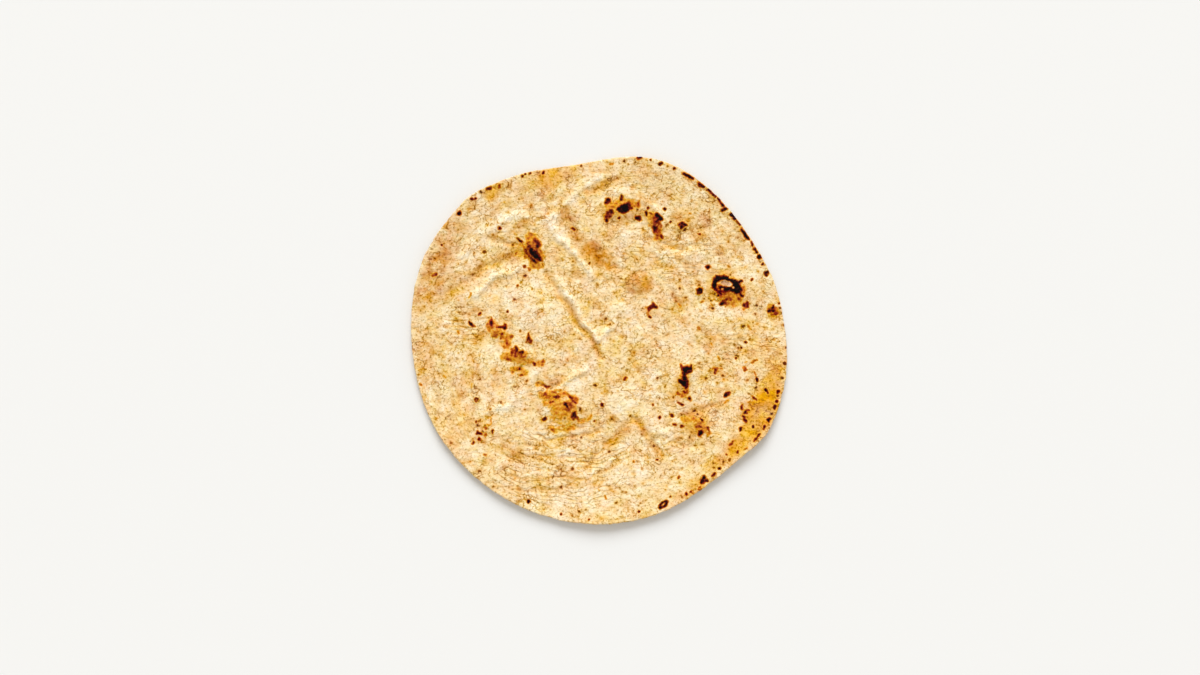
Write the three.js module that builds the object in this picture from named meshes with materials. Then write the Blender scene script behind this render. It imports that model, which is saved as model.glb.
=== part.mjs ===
// A chapati: one thin round of dough, baked dry on a hot plate.
// It puffed up while it baked and fell flat again, which left domes where it
// scorched, long creases where the skin folded, and a rim that lifts in waves.
// The bread is a single solid. Millimetres, +Z up, the origin under its middle
// on the surface that it lies on.

import * as THREE from 'three';

// ---------------------------------------------------------------- sizes, mm

const meanRadius = 111;
const doughThickness = 1.9;
const rimThickness = 1.2;
const rimRound = 0.9;          // how far the rounded rim stands out past the faces
const flatRadius = 60;         // the underside lies flat inside this radius
const rimLift = 2.3;           // mean height of the rim's waves
const pressedStart = 0.6;      // share of the radius where the rim begins to thin

const topRings = 32;
const undersideRings = 16;
const pointsPerRing = 6;       // each ring has this many points more than the last

// ---------------------------------------------------------- shape of the edge
// Hand-rolled, so it is not a circle: each entry pushes the edge out or in by
// `reach` mm around the direction `at`, fading over `spread` degrees.

const edgeBulges = [
  { at: 33, reach: -2, spread: 14 },
  { at: 69, reach: 2.4, spread: 15 },
  { at: 99, reach: -5.5, spread: 16 },
  { at: 132, reach: 2, spread: 7 },
  { at: 152, reach: 5, spread: 25 },
  { at: 205, reach: 1, spread: 18 },
  { at: 308, reach: -2, spread: 18 },
  { at: 330, reach: 3, spread: 8 },
  { at: 344, reach: 3.5, spread: 15 },
];

// The rim leaves the table in slow waves: `at` is where each one is highest.

const rimWaves = [
  { at: 318, height: 2.4, spread: 38 },
  { at: 262, height: 1.5, spread: 26 },
  { at: 205, height: 1.1, spread: 30 },
  { at: 140, height: 2.0, spread: 30 },
  { at: 62, height: 1.7, spread: 28 },
  { at: 12, height: -1.4, spread: 22 },
  { at: 100, height: -1.6, spread: 18 },
];

// Small ruffles run all round it: `count` of them to a turn.

const rimRuffles = [
  { count: 7, height: 0.4, start: 20 },
  { count: 13, height: 0.3, start: 75 },
];

// ------------------------------------------------------- relief of the top, mm
// Blisters are steep-sided domes. Their crowns took the most heat.

const blisters = [
  { x: -39, y: 53, width: 15, length: 22, turn: 10, height: 2.1 },
  { x: 13, y: 78, width: 30, length: 20, turn: -8, height: 1.9 },
  { x: 35, y: 71, width: 14, length: 20, turn: 0, height: 1.5 },
  { x: 50, y: 68, width: 11, length: 10, turn: 0, height: 0.8 },
  { x: 77, y: 31, width: 27, length: 22, turn: -8, height: 2.2 },
  { x: 60, y: 28.8, width: 7, length: 7, turn: 0, height: 0.7 },
  { x: 104, y: 17, width: 11, length: 10, turn: 0, height: 0.8 },
  { x: 32, y: 18, width: 12, length: 13, turn: -35, height: 1.0 },
  { x: 51.5, y: -22.5, width: 14, length: 24, turn: -12, height: 1.7 },
  { x: 60, y: -51, width: 24, length: 18, turn: -25, height: 1.2 },
  { x: 88, y: -45, width: 11, length: 17, turn: 0, height: 0.9 },
  { x: -62, y: 6, width: 14, length: 18, turn: 30, height: 1.1 },
  { x: -48, y: -9, width: 22, length: 14, turn: -15, height: 1.4 },
  { x: -42, y: 0, width: 7, length: 10, turn: 15, height: 0.7 },
  { x: -22, y: -41, width: 36, length: 25, turn: -25, height: 1.8 },
  { x: -71, y: -55, width: 14, length: 16, turn: 0, height: 0.8 },
  { x: 24, y: 34, width: 17, length: 14, turn: 0, height: 0.8 },
  { x: 24, y: 3.5, width: 14, length: 12, turn: 0, height: 0.7 },
];

// The burst blister: its thin skin tore and fell in.

const tear = { x: 75.5, y: 33.3, width: 12, length: 6, turn: -6, depth: 1.7 };

// Swells are broad, low crowns between the creases.

const swells = [
  { x: -38, y: 19, width: 62, length: 46, turn: -20, height: 1.0 },
  { x: 13, y: -35, width: 36, length: 32, turn: 0, height: 0.9 },
  { x: 10, y: 17, width: 24, length: 16, turn: 15, height: 0.8 },
  { x: 20, y: -80, width: 50, length: 34, turn: -25, height: 0.8 },
  { x: 50, y: -24, width: 46, length: 52, turn: 0, height: 0.9 },
  { x: 72, y: 12, width: 44, length: 26, turn: 0, height: 0.7 },
  { x: 20, y: 62, width: 44, length: 22, turn: -10, height: 0.7 },
  { x: -66, y: -12, width: 34, length: 26, turn: -25, height: 0.7 },
  { x: 82, y: 60, width: 34, length: 40, turn: 30, height: 0.6 },
  { x: -20, y: -88, width: 60, length: 26, turn: 8, height: 0.6 },
  { x: -16, y: 92, width: 50, length: 16, turn: 8, height: 0.5 },
];

// Creases are sunk lines and pleats are raised ones, each along a short path.

const creases = [
  { depth: 1.0, width: 3.2, path: [[-33, 41], [-27, 31], [-20, 20], [-12, 9], [-5, -1], [1, -11]] },
  { depth: 0.8, width: 3.4, path: [[20, -47], [24, -50], [29, -58], [38, -70]] },
  { depth: 0.8, width: 5.0, path: [[-4, -73], [4, -64], [13, -57], [20, -48]] },
  { depth: 0.9, width: 5.0, path: [[-92, 27], [-80, 33], [-68, 44], [-47, 50]] },
  { depth: 0.6, width: 3.4, path: [[-65, 61], [-57, 58], [-48, 56]] },
  { depth: 0.7, width: 4.4, path: [[-8, 88], [3, 93], [12, 96]] },
  { depth: 0.9, width: 6.0, path: [[-21, 78], [-17, 68], [-11, 58], [1, 48], [14, 39]] },
  { depth: 0.6, width: 3.4, path: [[18, -3], [22, -14], [28, -27]] },
  { depth: 0.6, width: 2.8, path: [[-38, -57], [-28, -60.5], [-12, -58], [0, -54]] },
  { depth: 0.5, width: 3.0, path: [[-40, -70], [-22, -72], [-5, -72.5]] },
  { depth: 0.5, width: 3.0, path: [[-40, -91], [-24, -89.5], [-10, -83]] },
  { depth: 0.5, width: 3.4, path: [[37, 57], [47, 54.5], [56, 56]] },
  { depth: 0.6, width: 3.4, path: [[56, -43], [64, -41], [72, -38]] },
  { depth: 0.5, width: 3.2, path: [[42, 30], [47, 23], [51, 17]] },
  { depth: 0.5, width: 3.6, path: [[-60, -71], [-48, -70], [-41, -79]] },
  { depth: 0.6, width: 3.2, path: [[-38, -27], [-31, -29.5], [-22, -26]] },
  { depth: 0.5, width: 3.6, path: [[44, -62], [52, -66], [62, -65]] },
];

const pleats = [
  { height: 0.9, width: 4.0, path: [[-24, 36], [-16, 23], [-10, 13], [-3, 0]] },
  { height: 0.8, width: 4.6, path: [[-83, 50], [-70, 64], [-56, 72], [-45, 74]] },
  { height: 0.9, width: 4.6, path: [[-32, 72], [-22, 60], [-12, 49], [-3, 38]] },
  { height: 0.8, width: 4.2, path: [[-27, 73], [-16, 87], [-5, 95], [4, 99]] },
  { height: 0.8, width: 3.8, path: [[8, 88], [20, 87], [29, 82], [35, 76]] },
  { height: 0.8, width: 4.0, path: [[-74, 26], [-63, 37], [-49, 43]] },
  { height: 0.9, width: 3.6, path: [[-26, -30], [-16, -22], [-8, -19]] },
  { height: 0.7, width: 3.6, path: [[-1, 0], [4, 3], [10, 9]] },
  { height: 0.6, width: 4.0, path: [[-70, -44], [-56, -41], [-46, -33], [-38, -20]] },
  { height: 0.6, width: 4.0, path: [[38, 50], [48, 50], [58, 51]] },
  { height: 0.7, width: 4.4, path: [[28, -46], [34, -56], [42, -57], [48, -50]] },
];

// ------------------------------------------------------------------ functions

const degrees = Math.PI / 180;

function turnBetween(angle, at) {
  const turn = (angle - at) % 360;
  return turn > 180 ? turn - 360 : turn < -180 ? turn + 360 : turn;
}

function edgeRadius(angle) {
  let radius = meanRadius;
  for (const bulge of edgeBulges) {
    const away = turnBetween(angle, bulge.at) / bulge.spread;
    radius += bulge.reach * Math.exp(-away * away);
  }
  return radius;
}

// Height of the middle of the dough: flat inside, lifting to the rim's waves.
function lift(angle, radius) {
  let height = rimLift;
  for (const wave of rimWaves) {
    const away = turnBetween(angle, wave.at) / wave.spread;
    height += wave.height * Math.exp(-away * away);
  }
  for (const ruffle of rimRuffles) {
    height += ruffle.height * Math.cos(ruffle.count * (angle - ruffle.start) * degrees);
  }
  const outwards = Math.max(0, radius - flatRadius) / (edgeRadius(angle) - flatRadius);
  return Math.max(0, height) * outwards * outwards;
}

// Nought at the middle of an oval and one at its edge.
function ovalDistance(x, y, oval) {
  const turn = oval.turn * degrees;
  const along = (x - oval.x) * Math.cos(turn) + (y - oval.y) * Math.sin(turn);
  const across = (y - oval.y) * Math.cos(turn) - (x - oval.x) * Math.sin(turn);
  return Math.hypot(along / (oval.width / 2), across / (oval.length / 2));
}

function dome(x, y, oval, rise) {
  const away = ovalDistance(x, y, oval);
  return away < 1 ? rise * (1 - away * away) ** 2 : 0;
}

function distanceToPath(x, y, path) {
  const point = new THREE.Vector3(x, y, 0);
  const nearest = new THREE.Vector3();
  let shortest = Infinity;
  for (let i = 1; i < path.length; i += 1) {
    const start = new THREE.Vector3(path[i - 1][0], path[i - 1][1], 0);
    const end = new THREE.Vector3(path[i][0], path[i][1], 0);
    new THREE.Line3(start, end).closestPointToPoint(point, true, nearest);
    shortest = Math.min(shortest, nearest.distanceTo(point));
  }
  return shortest;
}

function fold(x, y, line, rise) {
  const away = distanceToPath(x, y, line.path) / (line.width / 2);
  return rise * Math.exp(-away * away);
}

function reliefAt(x, y) {
  let relief = 0;
  for (const blister of blisters) relief += dome(x, y, blister, blister.height);
  for (const swell of swells) relief += dome(x, y, swell, swell.height);
  for (const pleat of pleats) relief += fold(x, y, pleat, pleat.height);
  for (const crease of creases) relief -= fold(x, y, crease, crease.depth);
  return relief - dome(x, y, tear, tear.depth);
}

// The dough thins to the pressed rim, and its relief fades out there.
function rimShare(angle, radius) {
  const share = THREE.MathUtils.smoothstep(radius / edgeRadius(angle), pressedStart, 1);
  return share * share;
}

function topHeight(x, y) {
  const angle = Math.atan2(y, x) / degrees;
  const radius = Math.hypot(x, y);
  const pressed = rimShare(angle, radius);
  const thickness = THREE.MathUtils.lerp(doughThickness, rimThickness, pressed);
  const relief = reliefAt(x, y) * (1 - pressed);
  return lift(angle, radius) + thickness + Math.max(relief, -thickness / 2);
}

function undersideHeight(x, y) {
  return lift(Math.atan2(y, x) / degrees, Math.hypot(x, y));
}

// One ring of points at a share of the way out. `inset` keeps it back from the edge.
function addRing(points, count, share, inset, heightAt) {
  const ring = [];
  for (let i = 0; i < count; i += 1) {
    const angle = (i * 360) / count;
    const radius = (edgeRadius(angle) - inset) * share;
    const x = radius * Math.cos(angle * degrees);
    const y = radius * Math.sin(angle * degrees);
    ring.push(points.length / 3);
    points.push(x, y, heightAt(x, y));
  }
  return ring;
}

// Triangles between two rings, stepping round whichever ring is behind.
function joinRings(faces, inner, outer, facesUp) {
  let i = 0;
  let o = 0;
  while (i < inner.length || o < outer.length) {
    const innerPoint = inner[i % inner.length];
    const outerPoint = outer[o % outer.length];
    const stepOuter = (o + 1) * inner.length <= (i + 1) * outer.length;
    const next = stepOuter ? outer[(o + 1) % outer.length] : inner[(i + 1) % inner.length];
    if (facesUp) faces.push(innerPoint, outerPoint, next);
    else faces.push(outerPoint, innerPoint, next);
    if (stepOuter) o += 1;
    else i += 1;
  }
}

// A face of the bread as rings round a middle point. Returns its outermost ring.
function addFace(points, faces, ringCount, rimPoints, heightAt, facesUp) {
  const middle = points.length / 3;
  points.push(0, 0, heightAt(0, 0));
  let last = null;
  for (let k = 1; k <= ringCount; k += 1) {
    const count = k === ringCount ? rimPoints : k * pointsPerRing;
    const ring = addRing(points, count, k / ringCount, rimRound, heightAt);
    if (last) joinRings(faces, last, ring, facesUp);
    else for (let i = 0; i < count; i += 1) addSpoke(faces, middle, ring, i, facesUp);
    last = ring;
  }
  return last;
}

function addSpoke(faces, middle, ring, i, facesUp) {
  const next = ring[(i + 1) % ring.length];
  if (facesUp) faces.push(middle, ring[i], next);
  else faces.push(middle, next, ring[i]);
}

// ----------------------------------------------------------------- the bread

function breadGeometry() {
  const points = [];
  const faces = [];
  const rimPoints = topRings * pointsPerRing;
  const midRim = (x, y) => undersideHeight(x, y) + rimThickness / 2;
  const top = addFace(points, faces, topRings, rimPoints, topHeight, true);
  const underside = addFace(points, faces, undersideRings, rimPoints, undersideHeight, false);
  const rim = addRing(points, rimPoints, 1, 0, midRim);
  joinRings(faces, top, rim, true);
  joinRings(faces, underside, rim, false);

  const geometry = new THREE.BufferGeometry();
  geometry.setAttribute('position', new THREE.Float32BufferAttribute(points, 3));
  geometry.setIndex(faces);
  geometry.computeBoundingBox();
  const middle = geometry.boundingBox.getCenter(new THREE.Vector3());
  geometry.translate(-middle.x, -middle.y, -geometry.boundingBox.min.z);
  geometry.computeVertexNormals();
  return geometry;
}

const bakedDough = new THREE.MeshStandardMaterial({
  color: 0xeac188,
  roughness: 0.82,
  metalness: 0,
});

const chapati = new THREE.Mesh(breadGeometry(), bakedDough);
chapati.name = 'chapati';

const group = new THREE.Group();
group.add(chapati);

export default group;
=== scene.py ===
"""A chapati on a pale table: the bread's modelled relief, its toasted and scorched
colours, and the plain stage that it is looked at on. Everything is in metres in the
scene. The bread's own sizes are written in millimetres and turned into metres once."""

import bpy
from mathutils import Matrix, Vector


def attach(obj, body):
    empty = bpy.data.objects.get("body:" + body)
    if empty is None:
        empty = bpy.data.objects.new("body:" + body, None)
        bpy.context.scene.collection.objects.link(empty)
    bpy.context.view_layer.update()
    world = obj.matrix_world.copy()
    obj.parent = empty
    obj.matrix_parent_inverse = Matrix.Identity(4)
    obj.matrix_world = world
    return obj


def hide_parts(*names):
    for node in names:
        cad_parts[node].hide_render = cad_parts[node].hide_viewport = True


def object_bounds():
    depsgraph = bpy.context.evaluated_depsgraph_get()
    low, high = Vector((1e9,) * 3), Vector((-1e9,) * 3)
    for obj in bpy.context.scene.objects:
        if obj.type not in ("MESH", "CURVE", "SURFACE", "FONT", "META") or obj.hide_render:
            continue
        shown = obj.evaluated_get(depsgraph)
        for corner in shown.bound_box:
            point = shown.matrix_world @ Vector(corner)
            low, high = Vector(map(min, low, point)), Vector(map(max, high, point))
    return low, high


bl_info = {
    "name": "Chapati maker",
    "version": (1, 0, 0),
    "blender": (4, 5, 0),
    "location": "View3D > Sidebar > Chapati",
    "description": "Makes one baked chapati with blisters, creases and scorch marks",
    "category": "Add Mesh",
}

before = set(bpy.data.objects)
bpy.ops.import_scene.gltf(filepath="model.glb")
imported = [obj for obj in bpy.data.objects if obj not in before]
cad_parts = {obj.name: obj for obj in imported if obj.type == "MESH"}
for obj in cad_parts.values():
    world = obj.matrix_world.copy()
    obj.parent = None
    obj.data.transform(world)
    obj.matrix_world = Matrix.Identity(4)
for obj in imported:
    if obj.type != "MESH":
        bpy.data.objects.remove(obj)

import math

import bpy
import numpy as np
from mathutils import Vector

MM = 0.001
NODE = "chapati"
BODY = "root"

CAD_LOW, CAD_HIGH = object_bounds()
CAD_MIDDLE = (CAD_LOW + CAD_HIGH) / 2

# ------------------------------------------------------------------ the bread's form, mm

# Pushes of the edge: direction in degrees, reach out or in, spread in degrees.
EDGE_BULGES = [
    (33, -2, 14),
    (69, 2.4, 15),
    (99, -5.5, 16),
    (132, 2, 7),
    (152, 5, 25),
    (205, 1, 18),
    (308, -2, 18),
    (330, 3, 8),
    (344, 3.5, 15),
]

# Slow waves of the rim: direction of the crest, height, spread in degrees.
RIM_WAVES = [
    (318, 2.4, 38),
    (262, 1.5, 26),
    (205, 1.1, 30),
    (140, 2.0, 30),
    (62, 1.7, 28),
    (12, -1.4, 22),
    (100, -1.6, 18),
]

# Small ruffles of the rim: how many to a turn, height, direction of the first crest.
RIM_RUFFLES = [(7, 0.4, 20), (13, 0.3, 75)]

# Steep-sided blisters and broad swells: x, y, width, length, turn in degrees, height.
BLISTERS = [
    (-39, 53, 15, 22, 10, 2.1),
    (13, 78, 30, 20, -8, 1.9),
    (35, 71, 14, 20, 0, 1.5),
    (50, 68, 11, 10, 0, 0.8),
    (77, 31, 27, 22, -8, 2.2),
    (60, 28.8, 7, 7, 0, 0.7),
    (104, 17, 11, 10, 0, 0.8),
    (32, 18, 12, 13, -35, 1.0),
    (51.5, -22.5, 14, 24, -12, 1.7),
    (60, -51, 24, 18, -25, 1.2),
    (88, -45, 11, 17, 0, 0.9),
    (-62, 6, 14, 18, 30, 1.1),
    (-48, -9, 22, 14, -15, 1.4),
    (-42, 0, 7, 10, 15, 0.7),
    (-22, -41, 36, 25, -25, 1.8),
    (-71, -55, 14, 16, 0, 0.8),
    (24, 34, 17, 14, 0, 0.8),
    (24, 3.5, 14, 12, 0, 0.7),
]

SWELLS = [
    (-38, 19, 62, 46, -20, 1.0),
    (13, -35, 36, 32, 0, 0.9),
    (10, 17, 24, 16, 15, 0.8),
    (20, -80, 50, 34, -25, 0.8),
    (50, -24, 46, 52, 0, 0.9),
    (72, 12, 44, 26, 0, 0.7),
    (20, 62, 44, 22, -10, 0.7),
    (-66, -12, 34, 26, -25, 0.7),
    (82, 60, 34, 40, 30, 0.6),
    (-20, -88, 60, 26, 8, 0.6),
    (-16, 92, 50, 16, 8, 0.5),
]

# The burst blister's torn skin: x, y, width, length, turn, depth.
TEAR = (75.3, 33.7, 12.5, 5.4, -9, 1.7)

# Painted highlights below it, where glints lie on the char, drawn as small spots of bare skin: x, y, half
# width.
GLINT_SPOTS = [(73.9, 30, 0.4), (80.4, 31, 0.4)]

# Sunk creases: depth, width, path.
CREASES = [
    (1.0, 3.2, [(-33, 41), (-27, 31), (-20, 20), (-12, 9), (-5, -1), (1, -11)]),
    (0.6, 2.8, [(20, -47), (24, -50), (29, -58), (38, -70)]),
    (0.6, 5.0, [(-4, -73), (4, -64), (13, -57), (20, -48)]),
    (0.9, 5.0, [(-92, 27), (-80, 33), (-68, 44), (-47, 50)]),
    (0.6, 3.4, [(-65, 61), (-57, 58), (-48, 56)]),
    (0.7, 4.4, [(-8, 88), (3, 93), (12, 96)]),
    (0.5, 6.0, [(-21, 78), (-17, 68), (-11, 58), (1, 48), (14, 39)]),
    (0.6, 3.4, [(18, -3), (22, -14), (28, -27)]),
    (0.6, 2.8, [(-38, -57), (-28, -60.5), (-12, -58), (0, -54)]),
    (0.5, 3.0, [(-40, -70), (-22, -72), (-5, -72.5)]),
    (0.5, 3.0, [(-40, -91), (-24, -89.5), (-10, -83)]),
    (0.5, 3.4, [(37, 57), (47, 54.5), (56, 56)]),
    (0.6, 3.4, [(56, -43), (64, -41), (72, -38)]),
    (0.5, 3.2, [(42, 30), (47, 23), (51, 17)]),
    (0.5, 3.6, [(-60, -71), (-48, -70), (-41, -79)]),
    (0.6, 3.2, [(-38, -27), (-31, -29.5), (-22, -26)]),
    (0.5, 3.6, [(44, -62), (52, -66), (62, -65)]),
]

# Raised pleats: height, width, path.
PLEATS = [
    (0.9, 4.0, [(-24, 36), (-16, 23), (-10, 13), (-3, 0)]),
    (0.8, 4.6, [(-83, 50), (-70, 64), (-56, 72), (-45, 74)]),
    (0.9, 4.6, [(-32, 72), (-22, 60), (-12, 49), (-3, 38)]),
    (0.8, 4.2, [(-27, 73), (-16, 87), (-5, 95), (4, 99)]),
    (0.8, 3.8, [(8, 88), (20, 87), (29, 82), (35, 76)]),
    (0.8, 4.0, [(-74, 26), (-63, 37), (-49, 43)]),
    (0.9, 3.6, [(-26, -30), (-16, -22), (-8, -19)]),
    (0.7, 3.6, [(-1, 0), (4, 3), (10, 9)]),
    (0.6, 4.0, [(-70, -44), (-56, -41), (-46, -33), (-38, -20)]),
    (0.6, 4.0, [(38, 50), (48, 50), (58, 51)]),
    (0.7, 4.4, [(28, -46), (34, -56), (42, -57), (48, -50)]),
]

# Areas where the skin puckered in lines: x, y, width, length, turn, strength, then the
# centre that the lines run round. The last one covers the whole bread.
WRINKLED = [
    (-22, -76, 80, 44, 0, 0.9, -20, 15),
    (-82, 8, 30, 24, 0, 0.6, -80, -300),
    (14, 95, 50, 16, 0, 0.6, 16, 30),
    (92, -4, 34, 26, 0, 0.6, 92, 200),
    (44, 48, 60, 26, 0, 0.6, 38, 300),
    (62, -72, 50, 26, -30, 0.5, 20, -20),
    (-60, 62, 50, 30, 30, 0.5, -20, 10),
    (-85, -30, 40, 60, 10, 0.5, -30, -20),
    (0, 0, 240, 240, 0, 0.3, 0, -400),
]

# ------------------------------------------------------------------ the bake
# Heat runs from 0, pale floury dough, through golden and brown to 1, black char.

# Golden and toasted patches with soft edges: x, y, width, length, turn, heat.
TOASTED = [
    (-40, 53.2, 13, 22, 8, 0.39),
    (-38.5, 45, 9, 8, 0, 0.36),
    (-48.5, 53, 7, 12, 0, 0.20),
    (12, 78.5, 22, 9, -4, 0.27),
    (5, 74, 8, 6, 40, 0.40),
    (22, 81.5, 8, 6, 0, 0.27),
    (34, 69, 7.5, 16, 8, 0.42),
    (35.3, 61.5, 5, 3.5, 0, 0.42),
    (78.5, 24.6, 20, 9, -8, 0.34),
    (77, 32, 22, 13, -8, 0.32),
    (105, 16, 8, 7, 0, 0.34),
    (49, -31.5, 7, 5, 0, 0.34),
    (51, -23, 7, 15, -12, 0.26),
    (60, -50.5, 14, 9, -25, 0.28),
    (-63.5, 6, 7.5, 14, 20, 0.36),
    (-56.5, -1.5, 8, 12, 30, 0.32),
    (-48.5, -8.5, 13, 6.5, -10, 0.44),
    (-50, -11.5, 18, 5, -10, 0.30),
    (-50, -18, 6, 3, 0, 0.30),
    (-28, -33, 17, 6, 5, 0.34),
    (-17.5, -40, 9, 15, -35, 0.42),
    (-27, -39, 17, 13, -20, 0.30),
    (-23, -47, 20, 11, -20, 0.24),
    (-21, -54, 18, 4.5, 5, 0.26),
    (-35, -14.3, 6, 3.5, 20, 0.34),
    (-35.5, -27, 7, 2.5, 0, 0.30),
]

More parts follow.
